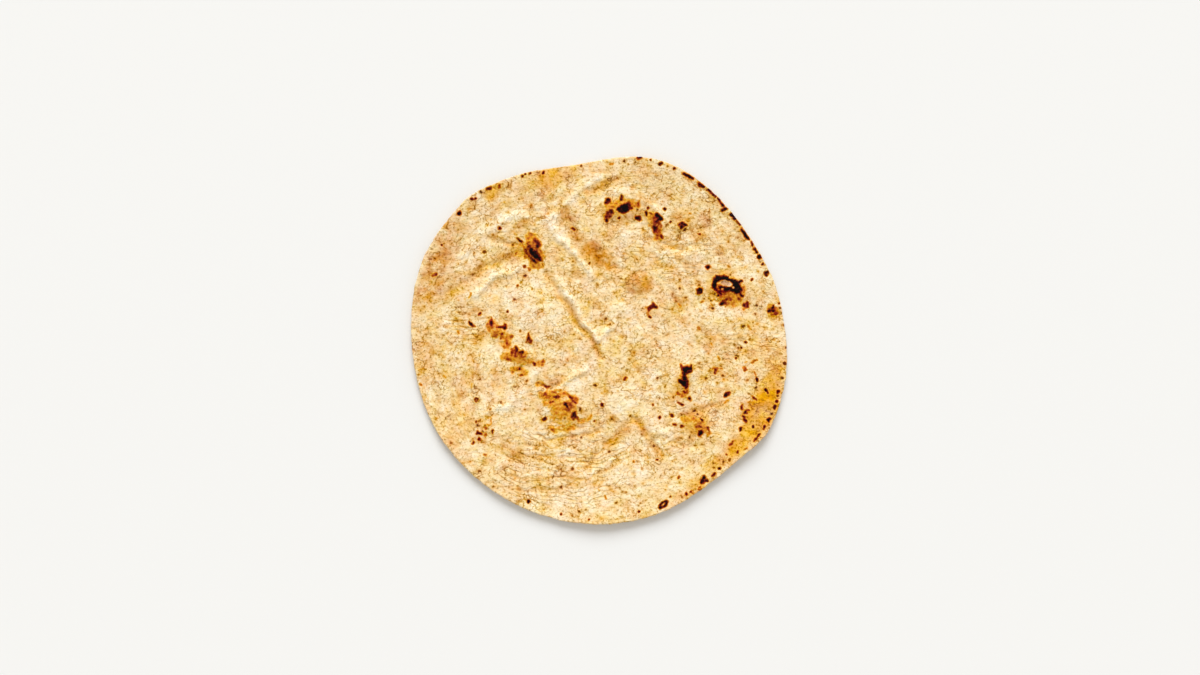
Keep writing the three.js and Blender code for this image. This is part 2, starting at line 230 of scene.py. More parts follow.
# Strokes of golden, toasted and scorched dough. Each is its heat, then points of x, y and
# half width. Up to SOFT_BELOW they fade out softly, the hotter ones are crisp.
STROKES = [
    # the blister at the upper left
    (1.08, (-41, 53.3, 1.3), (-39, 51.5, 1.5), (-37, 49.3, 1.4), (-35.8, 47.9, 0.9)),
    (0.60, (-42, 54, 1.0), (-38.6, 54.2, 1.2), (-35.6, 50, 1.0), (-35, 47.4, 0.6)),
    (0.86, (-44.3, 54, 0.4), (-43.4, 52, 0.6), (-41.5, 49.3, 0.6), (-39.3, 47, 0.6), (-37.5, 46.2, 0.4)),
    (0.80, (-38.6, 59.4, 0.8), (-36.9, 58.2, 1.1), (-36.3, 56.8, 1.2), (-37.1, 55.2, 1.0)),
    (0.82, (-42.5, 55.6, 0.7), (-41.3, 56, 0.6)),
    (0.62, (-43, 57, 0.5), (-42, 58.5, 0.6)),
    (0.52, (-42.6, 63.3, 0.4), (-40.6, 62.8, 0.5), (-38.7, 62.9, 0.4)),
    (0.43, (-42.5, 61.3, 1.4), (-40, 61.5, 0.9)),
    (0.60, (-36.7, 53.3, 0.4), (-35, 53, 0.4), (-34.5, 51.9, 0.3)),
    (0.44, (-35, 51.5, 0.9), (-34.3, 49.5, 0.7)),
    (0.56, (-34, 47, 0.2), (-33.9, 44, 0.2)),
    (0.43, (-37.5, 44.5, 1.1), (-35.3, 44.2, 1.1)),
    (0.52, (-39.5, 43, 0.3), (-36.5, 42.7, 0.3), (-34.4, 43.2, 0.3)),
    (0.50, (-40.9, 45, 0.7), (-40.2, 43.4, 0.6)),
    (0.58, (-42.3, 43, 0.4), (-41.6, 41.8, 0.6)),
    (0.98, (-49, 60.9, 0.2), (-48, 59.9, 0.4), (-47, 58.8, 0.5), (-46.4, 58, 0.2)),
    (0.50, (-52.4, 65, 0.1), (-50, 62.3, 0.1)),
    (0.54, (-46.2, 57.5, 0.2), (-45.3, 55.3, 0.3), (-45, 53, 0.2), (-44.9, 48.5, 0.3)),
    (0.24, (-50, 57, 2.6), (-49, 52, 2.8)),
    (0.66, (-50.5, 51.3, 0.3), (-49.6, 51.9, 0.3)),
    # the long blister at the top
    (1.15, (11.6, 78, 0.8), (13.5, 77.6, 1.7), (15, 78.8, 2.0), (17, 80, 1.2), (17.6, 81, 0.5)),
    (1.05, (14.5, 76.4, 1.0), (16.8, 77.3, 0.6), (17.5, 78.5, 0.8)),
    (0.86, (17.8, 78.7, 0.5), (19.5, 78.8, 0.6)),
    (1.00, (13.4, 85.6, 0.7), (12.9, 84, 0.5)),
    (0.98, (5, 83.6, 1.1), (5.8, 83.2, 0.9), (4.3, 81.8, 0.7)),
    (0.43, (6.5, 80, 1.0), (10, 80.9, 1.2), (14, 82.3, 1.2), (20, 82, 1.0), (23, 81, 1.2)),
    (0.36, (12, 74, 2.5), (22, 76, 2.5)),
    (0.86, (8.3, 75.8, 0.5), (7.2, 76.9, 0.9)),
    (0.86, (5.3, 76.3, 0.7), (5.6, 75.2, 0.4)),
    (0.86, (4.4, 71.6, 0.8), (4.7, 72.3, 0.6)),
    (0.66, (3.6, 73.3, 0.6), (5.2, 73.7, 1.2), (7, 74.2, 0.5)),
    (0.64, (4.5, 72.4, 1.4), (6, 74.6, 1.6), (7.2, 76, 1.1)),
    (0.38, (5, 74, 4.0)),
    (1.05, (22.6, 72.8, 0.8), (23.4, 72.7, 1.1), (24.2, 72.2, 0.8)),
    (0.94, (28.1, 76.3, 0.6), (28.2, 74.6, 0.5)),
    (0.92, (30.2, 75.9, 0.4), (31.2, 75, 0.3)),
    (0.58, (24.2, 82.8, 0.4), (23, 81.2, 0.7), (23.8, 80, 0.5)),
    (0.36, (21, 85, 0.8), (25, 85.6, 1.0), (29, 82, 0.8)),
    (0.36, (3, 64, 2.2), (7, 64.3, 2.0)),
    # the blister beside it
    (1.10, (34.1, 74.8, 0.7), (35.2, 73.7, 1.2), (36.7, 72.5, 1.1), (37.8, 72, 0.4)),
    (0.86, (35, 71.3, 0.7), (34.2, 70, 0.6)),
    (0.62, (35.6, 70.5, 0.6), (35.9, 69.3, 0.6)),
    (0.67, (34.2, 70.4, 1.5), (33.7, 67.4, 2.0), (33.6, 65, 1.3), (33.6, 64, 0.7)),
    (0.84, (33.2, 68.2, 0.6), (33.6, 66.6, 0.7)),
    (0.44, (31.5, 74.2, 1.3), (30.6, 72, 1.0), (32, 70.5, 1.0)),
    (0.60, (31.2, 72.7, 0.5)),
    (0.54, (29.8, 68.4, 0.5), (31.3, 68.3, 0.7)),
    (0.43, (35.5, 67, 1.2), (35.5, 64, 1.0)),
    (0.50, (34.8, 61.6, 1.3), (34, 60.7, 0.8), (36.2, 60.8, 0.7)),
    (0.96, (37.4, 62, 0.7), (37.7, 61, 0.5)),
    (0.50, (36, 65, 0.2), (37.2, 63, 0.2)),
    # the star and its neighbours
    (1.05, (48.3, 68.9, 0.7), (49.9, 68.7, 1.3), (51.6, 68.5, 0.5)),
    (0.98, (49.7, 67.6, 0.9), (49.2, 66.8, 0.3)),
    (0.66, (50.6, 69.8, 0.3), (51.1, 70.6, 0.2)),
    (0.56, (47.6, 68.9, 0.3), (46.9, 69, 0.2)),
    (0.38, (50, 68.3, 3.6)),
    (0.94, (60.3, 63.1, 0.5), (59.5, 63.2, 0.3)),
    (0.47, (58.4, 62.8, 0.9), (60.4, 62, 1.3), (61.8, 62.4, 0.8)),
    (0.62, (54.9, 75.2, 0.4), (54.2, 75.7, 0.3)),
    (0.42, (50, 74.8, 0.3), (52, 75.4, 0.3), (53.7, 75.9, 0.3)),
    (0.42, (43.5, 73, 0.6), (46.7, 72.3, 0.6)),
    (1.05, (64.8, 43.3, 0.8), (66, 43.6, 0.6)),
    (0.40, (60.5, 66.6, 0.8), (62.7, 66.4, 1.0)),
    # the burst blister
    (1.02, (60, 29.8, 1.2), (60.1, 28.5, 1.3), (59.5, 27.5, 0.7)),
    (1.15, (69.8, 35.6, 1.2), (71.5, 36.3, 1.5), (74, 36.4, 1.6), (76.3, 36, 1.4)),
    (1.05, (76.5, 36.4, 0.9), (78.3, 35.5, 0.8), (80.5, 34.6, 0.9), (82.6, 33.6, 1.0)),
    (1.12, (69.6, 35.8, 0.9), (69.4, 34, 0.9), (69.1, 32.3, 1.0), (69.2, 31.4, 0.7)),
    (1.20, (82.3, 32.1, 1.9), (82.8, 29.8, 2.1), (82.3, 28.3, 1.2)),
    (0.95, (84.8, 31, 0.5), (85.1, 29, 0.5), (84.8, 27, 0.5), (85.2, 26.2, 0.5), (86.4, 25.9, 0.3)),
    (0.95, (83.8, 33.6, 0.4), (84.6, 34.9, 0.4), (85.6, 35.1, 0.3), (86.2, 34.7, 0.2)),
    (1.18, (72, 31, 0.6), (73.4, 30.4, 0.9), (75.8, 30.1, 1.0), (78, 30.2, 0.9), (81, 30.2, 1.3)),
    (1.00, (75.4, 31.5, 0.4), (75.9, 30.6, 0.5)),
    (1.05, (77.6, 31.4, 0.3), (78, 30.4, 0.4)),
    (0.92, (72.4, 29.2, 0.5), (75, 28.9, 0.6), (77.5, 28.9, 0.5), (80, 28.7, 0.5)),
    (0.86, (69.9, 30, 0.5), (71.2, 28.6, 0.6), (72.4, 27.4, 0.5), (73.5, 26.6, 0.4)),
    (0.95, (70.5, 37.3, 0.3), (70.1, 38.2, 0.1)),
    (0.95, (72.3, 37.7, 0.3), (72.4, 38.6, 0.1)),
    (0.95, (74.8, 37.7, 0.3), (75.3, 38.6, 0.1)),
    (0.95, (77, 37.1, 0.3), (77.8, 37.6, 0.1)),
    (0.92, (69, 36.2, 0.3), (68.2, 36.8, 0.1)),
    (0.92, (68.6, 33.4, 0.3), (67.7, 33.2, 0.1)),
    (0.92, (68.3, 31.6, 0.3), (67.4, 31, 0.1)),
    (0.44, (74.5, 26.3, 1.6), (78, 25.6, 1.6), (82.5, 25, 1.4), (86, 28, 1.0), (86.3, 31, 0.8)),
    (0.42, (77, 23, 2.4), (81, 22.8, 2.0)),
    (0.38, (67.5, 38.5, 1.4), (71, 39.5, 1.2), (77, 39, 1.0), (82, 35.8, 1.0)),
    (0.40, (66.5, 33.5, 1.3), (66.6, 30, 1.2), (69, 27, 1.2)),
    (0.86, (76.3, 23.7, 0.7), (75.3, 23.3, 0.3)),
    (0.90, (74.2, 23.1, 0.4), (75, 22, 0.9), (73.7, 21.4, 0.7), (72.8, 21.2, 0.4)),
    (0.84, (75.2, 22, 0.8), (76.1, 21.4, 0.5)),
    (0.60, (76.1, 21, 0.3), (76.3, 20.2, 0.3), (75.5, 19.2, 0.3)),
    (0.72, (79.1, 23.6, 0.5), (78.2, 23.3, 0.3)),
    (0.68, (84.6, 23.7, 0.5), (83.6, 24.5, 0.5)),
    (0.56, (66.8, 21.8, 0.3), (67.7, 20.6, 0.3), (68.3, 19.8, 0.2)),
    (0.40, (67, 22.5, 1.4), (67.5, 19.8, 1.2)),
    (0.62, (61.3, 22, 0.5), (62.5, 22.7, 0.4)),
    (0.90, (88.4, 20.2, 1.3), (87, 20.8, 0.7)),
    (0.82, (88.3, 21.2, 0.5), (88.9, 22, 0.4)),
    (0.60, (87, 18.3, 0.7)),
    (0.40, (87.5, 19.8, 2.6)),
    # on the right rim
    (0.94, (101.6, 17, 0.5), (103, 17.3, 0.8), (104.8, 17.2, 0.6)),
    (0.90, (104.6, 20, 0.4), (104.6, 18.6, 0.5)),
    (0.78, (103.8, 18.4, 1.0)),
    (0.52, (102.2, 19, 1.0), (103.4, 20.3, 0.8)),
    (0.64, (105.5, 16, 0.6), (106.4, 15, 0.8)),
    (0.56, (103.6, 15, 0.4), (105.4, 15.2, 0.5)),
    (0.40, (107.2, 14.2, 1.4), (104, 14, 1.2)),
    # right of the middle
    (1.02, (32.2, 21.4, 0.5), (32.6, 20.2, 1.2), (34, 19.5, 0.5)),
    (0.90, (31.2, 19.7, 0.8), (30, 18.6, 0.8), (29.7, 17.8, 0.5)),
    (0.60, (30.3, 17.2, 0.4)),
    (0.58, (27.6, 18.8, 0.4), (28.7, 18.8, 0.5)),
    (0.55, (29.5, 17, 0.6), (28.9, 15.3, 0.6), (29.8, 14, 0.4)),
    (0.88, (30.3, 13.6, 0.4), (30.9, 13.2, 0.5)),
    (0.42, (29.6, 17, 1.4), (30.2, 15.2, 1.3)),
    (0.46, (44, 27.3, 0.5), (46, 23.5, 0.3), (48, 20.8, 0.4)),
    (0.66, (47.8, 21.2, 0.3), (48.6, 20.1, 0.5)),
    (0.38, (46.8, 24, 0.8), (49.5, 19.5, 0.8)),
    (0.58, (59.3, 7, 0.6), (60.3, 5.7, 0.7)),
    (0.40, (59.9, 6, 1.7)),
    (0.58, (89.2, 8.3, 0.6), (90.8, 6.3, 0.4)),
    (0.40, (88.5, 9.2, 1.2), (90.5, 6.6, 1.2)),
    # the long dark mark
    (0.90, (48.8, -15.5, 0.3), (49.6, -17, 0.8), (50.4, -18.6, 0.9)),
    (1.12, (51, -18.2, 1.3), (52.4, -18.4, 1.8), (54, -18.2, 1.5)),
    (0.96, (54.4, -17, 0.6), (55.2, -15.9, 0.3)),
    (1.08, (52, -19.6, 1.2), (51, -20.5, 1.0), (50.9, -22, 1.0), (51.4, -23.8, 1.2), (52.2, -25.5, 1.2)),
    (1.06, (52.4, -25.5, 0.8), (52.5, -27.5, 0.7), (52.1, -28.9, 0.6)),
    (1.12, (48.2, -25, 0.7), (49.8, -25.9, 1.2), (51.5, -26.4, 1.2), (50.4, -27.3, 0.7)),
    (0.84, (50.9, -31.2, 0.4), (52, -31.8, 0.4)),
    (0.56, (52.3, -30.1, 0.7), (52.8, -32.2, 0.5)),
    (0.40, (47.2, -31.2, 1.6)),
    (0.40, (47.5, -30, 2.0), (49, -31.6, 2.2), (51.5, -33, 1.2)),
    (0.50, (49.8, -34, 0.5), (51.5, -33.7, 0.5)),
    (0.40, (48.3, -22, 1.0), (46.5, -26.5, 1.3), (46, -33, 0.8)),
    (0.96, (53.9, -35.4, 0.7)),
    (0.66, (54.1, -36, 0.5), (55, -36.7, 0.4)),
    (0.90, (47.5, -37.9, 0.4), (49, -39.2, 0.4), (50.4, -39.7, 0.4)),
    (0.48, (62, -23.4, 0.4), (64.2, -23.9, 0.5), (66.2, -24.2, 0.4)),
    # the chain left of the middle
    (0.86, (-77.8, 10.4, 0.3), (-77.4, 9.2, 0.7), (-76, 7.9, 0.4), (-74.7, 7.7, 0.2)),
    (0.86, (-72.2, 14.7, 0.5), (-71.1, 15.3, 0.4)),
    (0.86, (-65, 11.6, 0.5), (-64.9, 10, 0.8), (-64.8, 8.7, 0.6)),
    (0.56, (-65, 13.6, 0.2), (-65, 12.4, 0.4)),
    (0.52, (-65.3, 7, 0.5), (-64.9, 5, 0.6), (-63.5, 3.3, 0.5), (-62.5, 2.6, 0.4)),
    (0.46, (-63.3, 9.5, 0.9), (-62.7, 6.3, 1.6), (-61.6, 4.5, 1.2)),
    (0.62, (-61.8, 7, 0.6)),
    (0.42, (-66.6, 9, 0.8), (-66.3, 5, 0.8)),
    (0.90, (-60.7, 6.9, 0.3), (-58.5, 7.4, 0.4), (-57.3, 7.5, 0.5)),
    (0.91, (-56.4, 8.6, 0.6), (-56.7, 6.8, 0.7)),
    (0.68, (-58.3, 3.4, 0.6), (-58.9, 1.8, 0.5), (-59.3, 0.3, 0.3)),
    (0.44, (-60, 4.5, 1.2), (-57, 2, 1.2), (-55, 0.3, 1.4), (-54.5, -3, 1.0)),
    (0.58, (-52.7, 1.8, 0.8), (-53.6, 0.9, 0.6)),
    (0.68, (-55.3, -2, 0.7), (-55.2, -4, 0.5)),
    (0.84, (-42.5, 3, 0.2), (-42.6, 1.5, 0.6), (-42.3, 0, 0.9), (-41.2, -1.8, 0.7)),
    (0.86, (-43.4, -1.3, 0.5)),
    (0.40, (-42.6, 4.6, 0.5), (-42, 0, 1.6)),
    (0.80, (-49.8, -4.8, 0.3), (-49.7, -6.5, 1.0), (-51, -7.5, 1.1), (-52, -8, 0.8)),
    (0.88, (-45.9, -7.7, 0.8), (-45.3, -8.3, 0.5)),
    (0.78, (-47.4, -8, 0.5), (-48.5, -8.2, 0.3)),
    (0.60, (-46.7, -9.3, 0.7), (-50.6, -8.8, 0.7)),
    (0.52, (-51.5, -10, 1.2), (-48, -10.3, 1.6), (-46, -9.8, 1.0)),
    (0.58, (-55.8, -11.6, 0.6), (-54.2, -12, 1.0), (-53, -12.4, 0.6)),
    (0.44, (-57, -10.5, 1.3), (-53, -10, 1.4), (-49, -13, 1.3), (-45, -13.4, 1.0), (-41, -13.2, 0.7)),
    (0.84, (-39.6, -14.2, 0.4), (-38.9, -15.2, 0.5)),
    (0.46, (-36.6, -14.8, 0.9), (-34.6, -14.8, 0.9)),
    (0.64, (-33.3, -12.9, 0.5), (-34.3, -13.4, 0.3)),
    (0.51, (-52.2, -17.9, 0.7), (-50.5, -17.7, 0.7), (-49.3, -17.8, 0.5)),
    (0.46, (-52.2, -18.5, 0.9), (-52, -19.4, 0.6)),
    (0.84, (-47.5, -21.7, 0.3), (-46.3, -21.4, 0.4)),
    (0.56, (-45.2, -20.4, 0.6), (-44.3, -20, 0.4)),
    (0.44, (-46.5, -18.7, 1.0), (-44.5, -20, 1.2)),
    (0.50, (-55.8, 14.5, 0.2), (-54.2, 13.5, 0.3), (-53.2, 14.4, 0.4)),
    (0.38, (-79, 2, 1.2), (-74, 1, 1.2), (-71, 2.6, 1.0)),
    # the cluster at the lower left
    (0.50, (-37.2, -27, 0.6), (-35, -26.6, 0.7), (-33.4, -27.6, 0.5)),
    (0.76, (-32.3, -28.5, 0.4), (-31.3, -28.9, 0.5), (-29.5, -28.4, 0.4)),
    (0.50, (-28.6, -27.2, 0.4), (-26.5, -25.9, 0.6), (-24.4, -25.5, 0.3)),
    (0.68, (-32.4, -33.2, 0.8), (-32.4, -32, 0.4)),
    (0.48, (-35, -33.4, 1.0), (-33, -34.3, 1.2)),
    (0.58, (-28, -31.5, 0.5), (-26.5, -31.6, 0.6), (-25.8, -32.3, 0.4)),
    (0.80, (-27.1, -34.7, 0.6), (-25.2, -35, 0.8), (-23.8, -34.5, 0.5)),
    (0.74, (-29.8, -38.2, 0.4), (-28.8, -38.2, 0.5), (-27.8, -37.2, 0.4)),
    (0.96, (-20.9, -38.7, 0.5), (-20.1, -39, 0.8), (-19.4, -40, 0.5), (-19, -40.9, 0.3)),
    (0.46, (-22.5, -33.2, 0.9), (-20, -32.8, 0.9), (-18.8, -33.4, 0.6)),
    (0.76, (-18.7, -33.7, 0.5), (-17.3, -34.8, 0.6), (-16.3, -36.5, 0.6), (-14.2, -38.6, 0.4)),
    (0.54, (-16.9, -38.2, 0.9), (-17.4, -41, 1.2), (-18, -43.6, 0.9)),
    (0.47, (-15.2, -41, 1.0), (-15, -42.6, 1.0)),
    (0.90, (-14.9, -44.5, 1.1), (-15, -46, 1.2), (-16.1, -46.3, 0.8)),
    (0.60, (-13.4, -47.2, 0.8), (-12.5, -48.8, 0.6)),
    (0.60, (-15.8, -48, 0.6)),
    (
        0.47, (-11.5, -49.4, 0.5), (-9.5, -49, 0.6), (-7.4, -48.5, 0.5), (-6, -47.5, 0.5),
        (-5.2, -46.5, 0.4),
    ),
    (0.43, (-25.5, -40, 1.8), (-25, -43.5, 1.8), (-21.5, -43, 1.6), (-19, -45.6, 1.2)),
    (0.41, (-29, -36.5, 2.0), (-24, -37, 1.6), (-21, -35.5, 1.0)),
    (0.95, (-33.9, -48.5, 0.5), (-33.2, -48.2, 0.8), (-32.2, -47.6, 0.7)),
    (0.46, (-35.2, -47.6, 0.6), (-34.6, -49.3, 0.6)),
    (0.50, (-28.7, -52.8, 0.7), (-27.7, -54.2, 0.7), (-26.4, -56, 0.3)),
    (0.51, (-20.9, -54, 0.5), (-19, -53.8, 0.7), (-17, -53.3, 0.7), (-16, -52.7, 0.3)),
    (0.38, (-40.3, -34.5, 0.8), (-39.5, -36, 0.7)),
    # the lower right
    (0.97, (43.8, -45.8, 0.7)),
    (0.60, (42.7, -45.2, 0.5)),
    (0.78, (44.4, -50.9, 0.3), (45.2, -51.1, 0.5), (46, -51.5, 0.3)),
    (0.92, (49.5, -52.4, 0.6), (50.3, -52.4, 0.4)),
    (0.98, (60.8, -48.2, 0.5), (61.5, -48.8, 0.5)),
    (0.70, (60.5, -47.5, 0.4)),
    (0.46, (51, -48, 1.2), (52.7, -48.3, 1.0)),
    (0.42, (48.3, -46.2, 0.8), (54, -47.2, 1.4), (56.5, -48, 1.5)),
    (0.45, (57.5, -50.3, 1.2), (60, -51, 1.4), (63, -54, 1.6), (60.5, -53.5, 1.2)),
    (0.64, (58.2, -52.6, 0.6), (60.8, -52.4, 0.7)),
    (1.05, (60.8, -55.8, 1.1), (60.3, -57.3, 0.9)),
    (0.68, (65, -53, 0.5), (65.8, -54.3, 0.5), (66.2, -55, 0.3)),
    (0.46, (65.5, -57.2, 0.6), (66.5, -56.5, 0.5)),
    (0.47, (54.3, -58.7, 0.4), (55, -60, 0.7), (54.3, -61.8, 0.5)),
    (0.45, (60, -41, 0.7), (63.5, -41, 0.8), (66, -39.5, 0.7), (69, -38.7, 0.6)),
    (0.42, (71.3, -41.4, 1.0)),
    (0.43, (49, -59.5, 0.5), (46, -60.5, 0.5), (45.6, -59.3, 0.5)),
    # the right side
    (0.68, (67.5, -18, 0.3), (69, -17.4, 0.4), (71, -17.4, 0.4)),
    (0.62, (72.4, -17.5, 0.4), (74, -17.9, 0.2)),
    (0.74, (70, -18.6, 0.5), (70, -19.6, 0.5), (69.4, -20.4, 0.6)),
    (0.42, (68.3, -19.5, 1.4), (71.5, -18.7, 1.4)),
    (0.62, (71.3, -10.5, 0.3), (72.3, -12.3, 0.4)),
    (0.64, (86.5, -16.9, 0.5), (87.8, -17.4, 0.6)),
    (0.68, (87.3, -18.7, 0.4), (88.8, -18.6, 0.3)),
    (0.44, (90, -18.8, 0.3), (92.5, -19.2, 0.3)),
    (0.70, (93.5, -19.8, 0.4), (93.8, -21.3, 0.4)),
    (0.95, (94.5, -23.8, 0.5), (94.7, -25.2, 0.5)),
    (0.74, (92, -13.8, 0.5), (93.3, -13, 0.3), (94.8, -12.6, 0.2)),
    (0.60, (88, -13.8, 0.4), (88.4, -13.2, 0.3)),
    (0.44, (88.3, -7.2, 0.8), (88.8, -8.3, 0.6)),
    (0.54, (67.2, -2.5, 0.3), (67.7, -3.5, 0.3)),
    (0.40, (62, -24.6, 0.5), (66.5, -24.8, 0.5)),
    (1.02, (75.4, -34.3, 0.4), (76.2, -33.3, 0.9), (77.4, -32.4, 0.8), (78, -31.9, 0.3)),
    (1.00, (99.9, -30.1, 0.6), (100.7, -31.1, 0.4)),
    (0.38, (72.5, -30.3, 0.7), (77, -30, 0.7)),
    # the specks low on the left
    (0.66, (-68.7, -52.8, 0.5), (-67.8, -53.2, 0.6)),
    (0.54, (-65.3, -47, 0.2), (-65, -50.7, 0.3), (-65.8, -51.5, 0.3), (-67.4, -51, 0.3)),
    (0.50, (-68, -46.2, 0.3), (-67.2, -46.6, 0.4)),
    (0.95, (-73, -55.3, 0.5), (-72.8, -56.3, 0.7), (-71, -56.5, 0.6)),
    (0.70, (-68.3, -56.7, 0.4), (-68.4, -58, 0.5)),
    (0.93, (-63.8, -55, 0.6), (-64, -56, 0.4)),
    (0.97, (-72, -60, 0.6), (-71.2, -60.2, 0.3)),
    (0.50, (-69.8, -60.8, 0.5), (-69.3, -61.6, 0.3)),
    (0.90, (-75.2, -61.4, 0.4), (-75.8, -62.5, 0.4)),
    (0.68, (-69, -69.5, 0.5), (-68.3, -69.6, 0.4)),
    (0.40, (-58, -58.7, 1.4)),
    # low on the right
    (0.60, (75.3, -38, 0.4), (76.3, -37.4, 0.3), (77.7, -36.6, 0.2)),
    (0.82, (85.7, -40, 0.4), (85.3, -41, 0.7), (85.6, -42, 0.3)),
    (0.82, (87.8, -43.4, 0.7), (88.8, -42.7, 0.5), (89.8, -42.7, 0.3)),
    (0.80, (88.5, -44.5, 0.3), (87, -44.2, 0.5)),
    (0.44, (86.5, -44, 1.2), (87.6, -46.5, 1.2)),
    (0.82, (86.2, -46, 0.5), (87.3, -46.8, 0.4)),
    (0.82, (87, -48.1, 0.7), (88.2, -49.6, 0.4)),
    (1.00, (84.5, -53.5, 0.5), (85, -53, 0.5), (84.2, -54.6, 0.4)),
    (0.50, (85.5, -52.8, 0.3), (86.4, -53, 0.3), (86.6, -53.7, 0.2)),
    (0.90, (92.2, -34.7, 0.4), (93, -35.6, 0.5), (94, -36.2, 0.4)),
    (0.56, (89.3, -37.6, 0.3), (90.8, -37.3, 0.3)),
    (0.86, (92.5, -60.8, 0.4), (96, -57, 0.4)),
    (0.82, (78.2, -63.4, 0.4), (79.3, -62.3, 0.3), (80.4, -61, 0.3)),
    (0.97, (99, -51.9, 0.6), (98.5, -53.7, 0.5)),
    (0.68, (88.3, -64.8, 0.4), (87, -65.6, 0.4)),
    (1.00, (101.8, -47.7, 0.8), (100.8, -48.3, 0.6), (101.2, -49.3, 0.4)),
    (1.00, (105.2, -40.3, 0.7), (104.9, -41.3, 0.5)),
    (1.00, (107.3, -31.2, 0.7), (106.7, -32, 0.5)),
    # the rim low on the right
    (0.74, (47.3, -83.2, 0.5), (47.9, -82.5, 0.4)),
    (1.08, (62.6, -82.6, 0.6), (62.5, -84.4, 1.2), (61.5, -85.7, 0.9), (64, -84.9, 0.7)),
    (0.98, (52.4, -93, 0.6), (52, -92, 0.3)),
    (0.80, (69.5, -80.3, 0.4), (67.8, -81.6, 0.5)),
    (0.93, (55.1, -91.4, 0.5)),
    # the middle of the bread
    (0.50, (-13, 59.8, 0.8), (-11, 59.8, 0.5)),
    (0.22, (-1, 53, 1.2), (0, 50, 1.7), (0.5, 48.5, 0.9)),
    (0.45, (-14.5, 41.3, 0.8), (-14, 38.8, 1.1), (-10, 38.2, 1.0), (-9.3, 39.5, 0.5)),
    (0.48, (16.5, 35.2, 0.9), (16, 33.4, 0.9)),
    (0.43, (26, 50.5, 0.3), (31, 51, 0.4), (34.5, 46.5, 0.3), (37, 44.5, 0.3)),
    (0.42, (8.5, 28.5, 0.7), (11, 26.8, 0.7)),
    (0.45, (-17.8, 36.5, 0.3), (-17.8, 34.3, 0.3)),
    (0.38, (16, 31, 0.5), (20, 29, 0.5), (26, 28.3, 0.5), (31, 31, 0.5)),
    (0.42, (-21, 24, 0.5), (-17, 17.5, 0.9), (-13.7, 12, 1.3), (-11, 7.5, 0.6), (-7.5, 3, 0.4)),
    (0.38, (-7.5, 3, 0.4), (-3.5, -2, 0.5), (-1, -7, 0.5), (0.5, -9.5, 0.8), (1, -11, 0.7)),
    (0.46, (-16.5, -11.5, 0.9), (-14, -11.3, 0.4)),
    (0.40, (-3, 24, 1.3), (-4.5, 22, 1.0), (-1, 20, 0.8)),
    (0.38, (22, -15, 1.0), (24.5, -18, 0.7)),
    (0.76, (15.9, -23.2, 0.7), (15, -24.4, 0.4)),
    (0.54, (0, -16.4, 0.2), (0.3, -15.4, 0.2)),
    (0.38, (3, 11, 2.1)),
    (0.38, (3, -41, 0.8), (5.5, -45, 0.7), (9.5, -49, 1.1)),
    (0.40, (22, -46, 0.6), (27.5, -56, 1.1), (31, -62, 0.7), (34, -66, 0.7)),
    (0.38, (33, -58, 0.9), (38, -58.3, 1.0), (42, -56, 0.8)),
    (0.38, (4, -62.5, 1.1), (9, -61, 1.3), (14, -56.5, 1.1), (18, -54.5, 0.8)),
    # the bottom
    (0.45, (-12, -102.9, 0.3), (-8, -102.3, 0.3)),
    (0.52, (-9.5, -76, 0.3), (-7.5, -76.7, 0.4), (-5.5, -76.8, 0.3)),
    (0.46, (-52.5, -81, 0.5), (-51, -81, 0.5)),
    (0.52, (-12, -83.8, 0.4), (-10.5, -83.6, 0.3)),
    (0.64, (3.7, -94.3, 0.6), (4, -95.3, 0.4)),
    (0.62, (20.7, -73.3, 0.5), (21.3, -73.9, 0.4)),
    (0.44, (-2, -88, 0.3), (0.5, -87.5, 0.3), (1.6, -86, 0.3)),
    (0.42, (7, -90, 0.3), (11, -92.8, 0.3)),
    (0.48, (-52, -68, 0.6), (-49, -70, 0.6), (-46.2, -69.8, 0.4)),
    # the left
    (0.44, (-85.2, 16, 0.3), (-82.5, 16, 0.2)),
    (0.48, (-78.5, 15, 0.3), (-77.5, 15, 0.4)),
    (0.42, (-88.5, 11.3, 0.3), (-83.5, 11, 0.3)),
    (0.42, (-93, 8, 0.4), (-88, 7.3, 0.4), (-84, 7.5, 0.4), (-80, 7, 0.4)),
    (0.70, (-85, 4.6, 0.3), (-84.5, 3.8, 0.3)),
    (0.44, (-101, -7.5, 0.4), (-98.5, -8, 0.4)),
    (0.42, (-94.5, -10.8, 0.8), (-93, -11, 0.6)),
    (0.58, (-93.3, -22, 0.4), (-92.3, -23, 0.5)),
    (0.70, (-107.6, -26.6, 0.4), (-106.7, -27.3, 0.6)),
    (0.58, (-76.3, -27, 0.2), (-76.8, -28.7, 0.3)),
    (0.40, (-84, -30, 1.1), (-82.5, -33, 0.9)),
    # the upper left
    (1.00, (-67, 90, 0.5), (-65.2, 90.3, 0.8)),
    (0.97, (-59.9, 91, 0.6), (-59.8, 92, 0.6)),
    (1.00, (-83.9, 75.2, 0.8), (-83.2, 76, 0.7)),
    (0.85, (-98, 38.8, 0.7)),
    (0.64, (-99.6, 38.1, 0.9)),
    (0.93, (-60.1, 67.1, 0.4), (-59.6, 66.3, 0.6)),
    (0.38, (-75.5, 81, 1.2), (-77, 79, 1.1)),
    (0.40, (-87, 38, 0.6), (-83, 39.3, 0.6), (-79, 39.5, 0.7), (-76, 39, 0.6), (-73, 43, 0.8)),
    (0.40, (-73, 43, 0.8), (-70, 45.5, 0.8), (-65, 47.5, 0.8), (-60, 49, 0.9), (-55, 51, 0.7)),
    (0.40, (-92, 23, 0.8), (-89, 25.5, 0.8), (-88, 30.5, 0.8), (-84.5, 31.8, 0.9)),
    (0.63, (-78, 24.8, 0.3), (-77.4, 26, 0.5), (-76.8, 27.6, 0.4)),
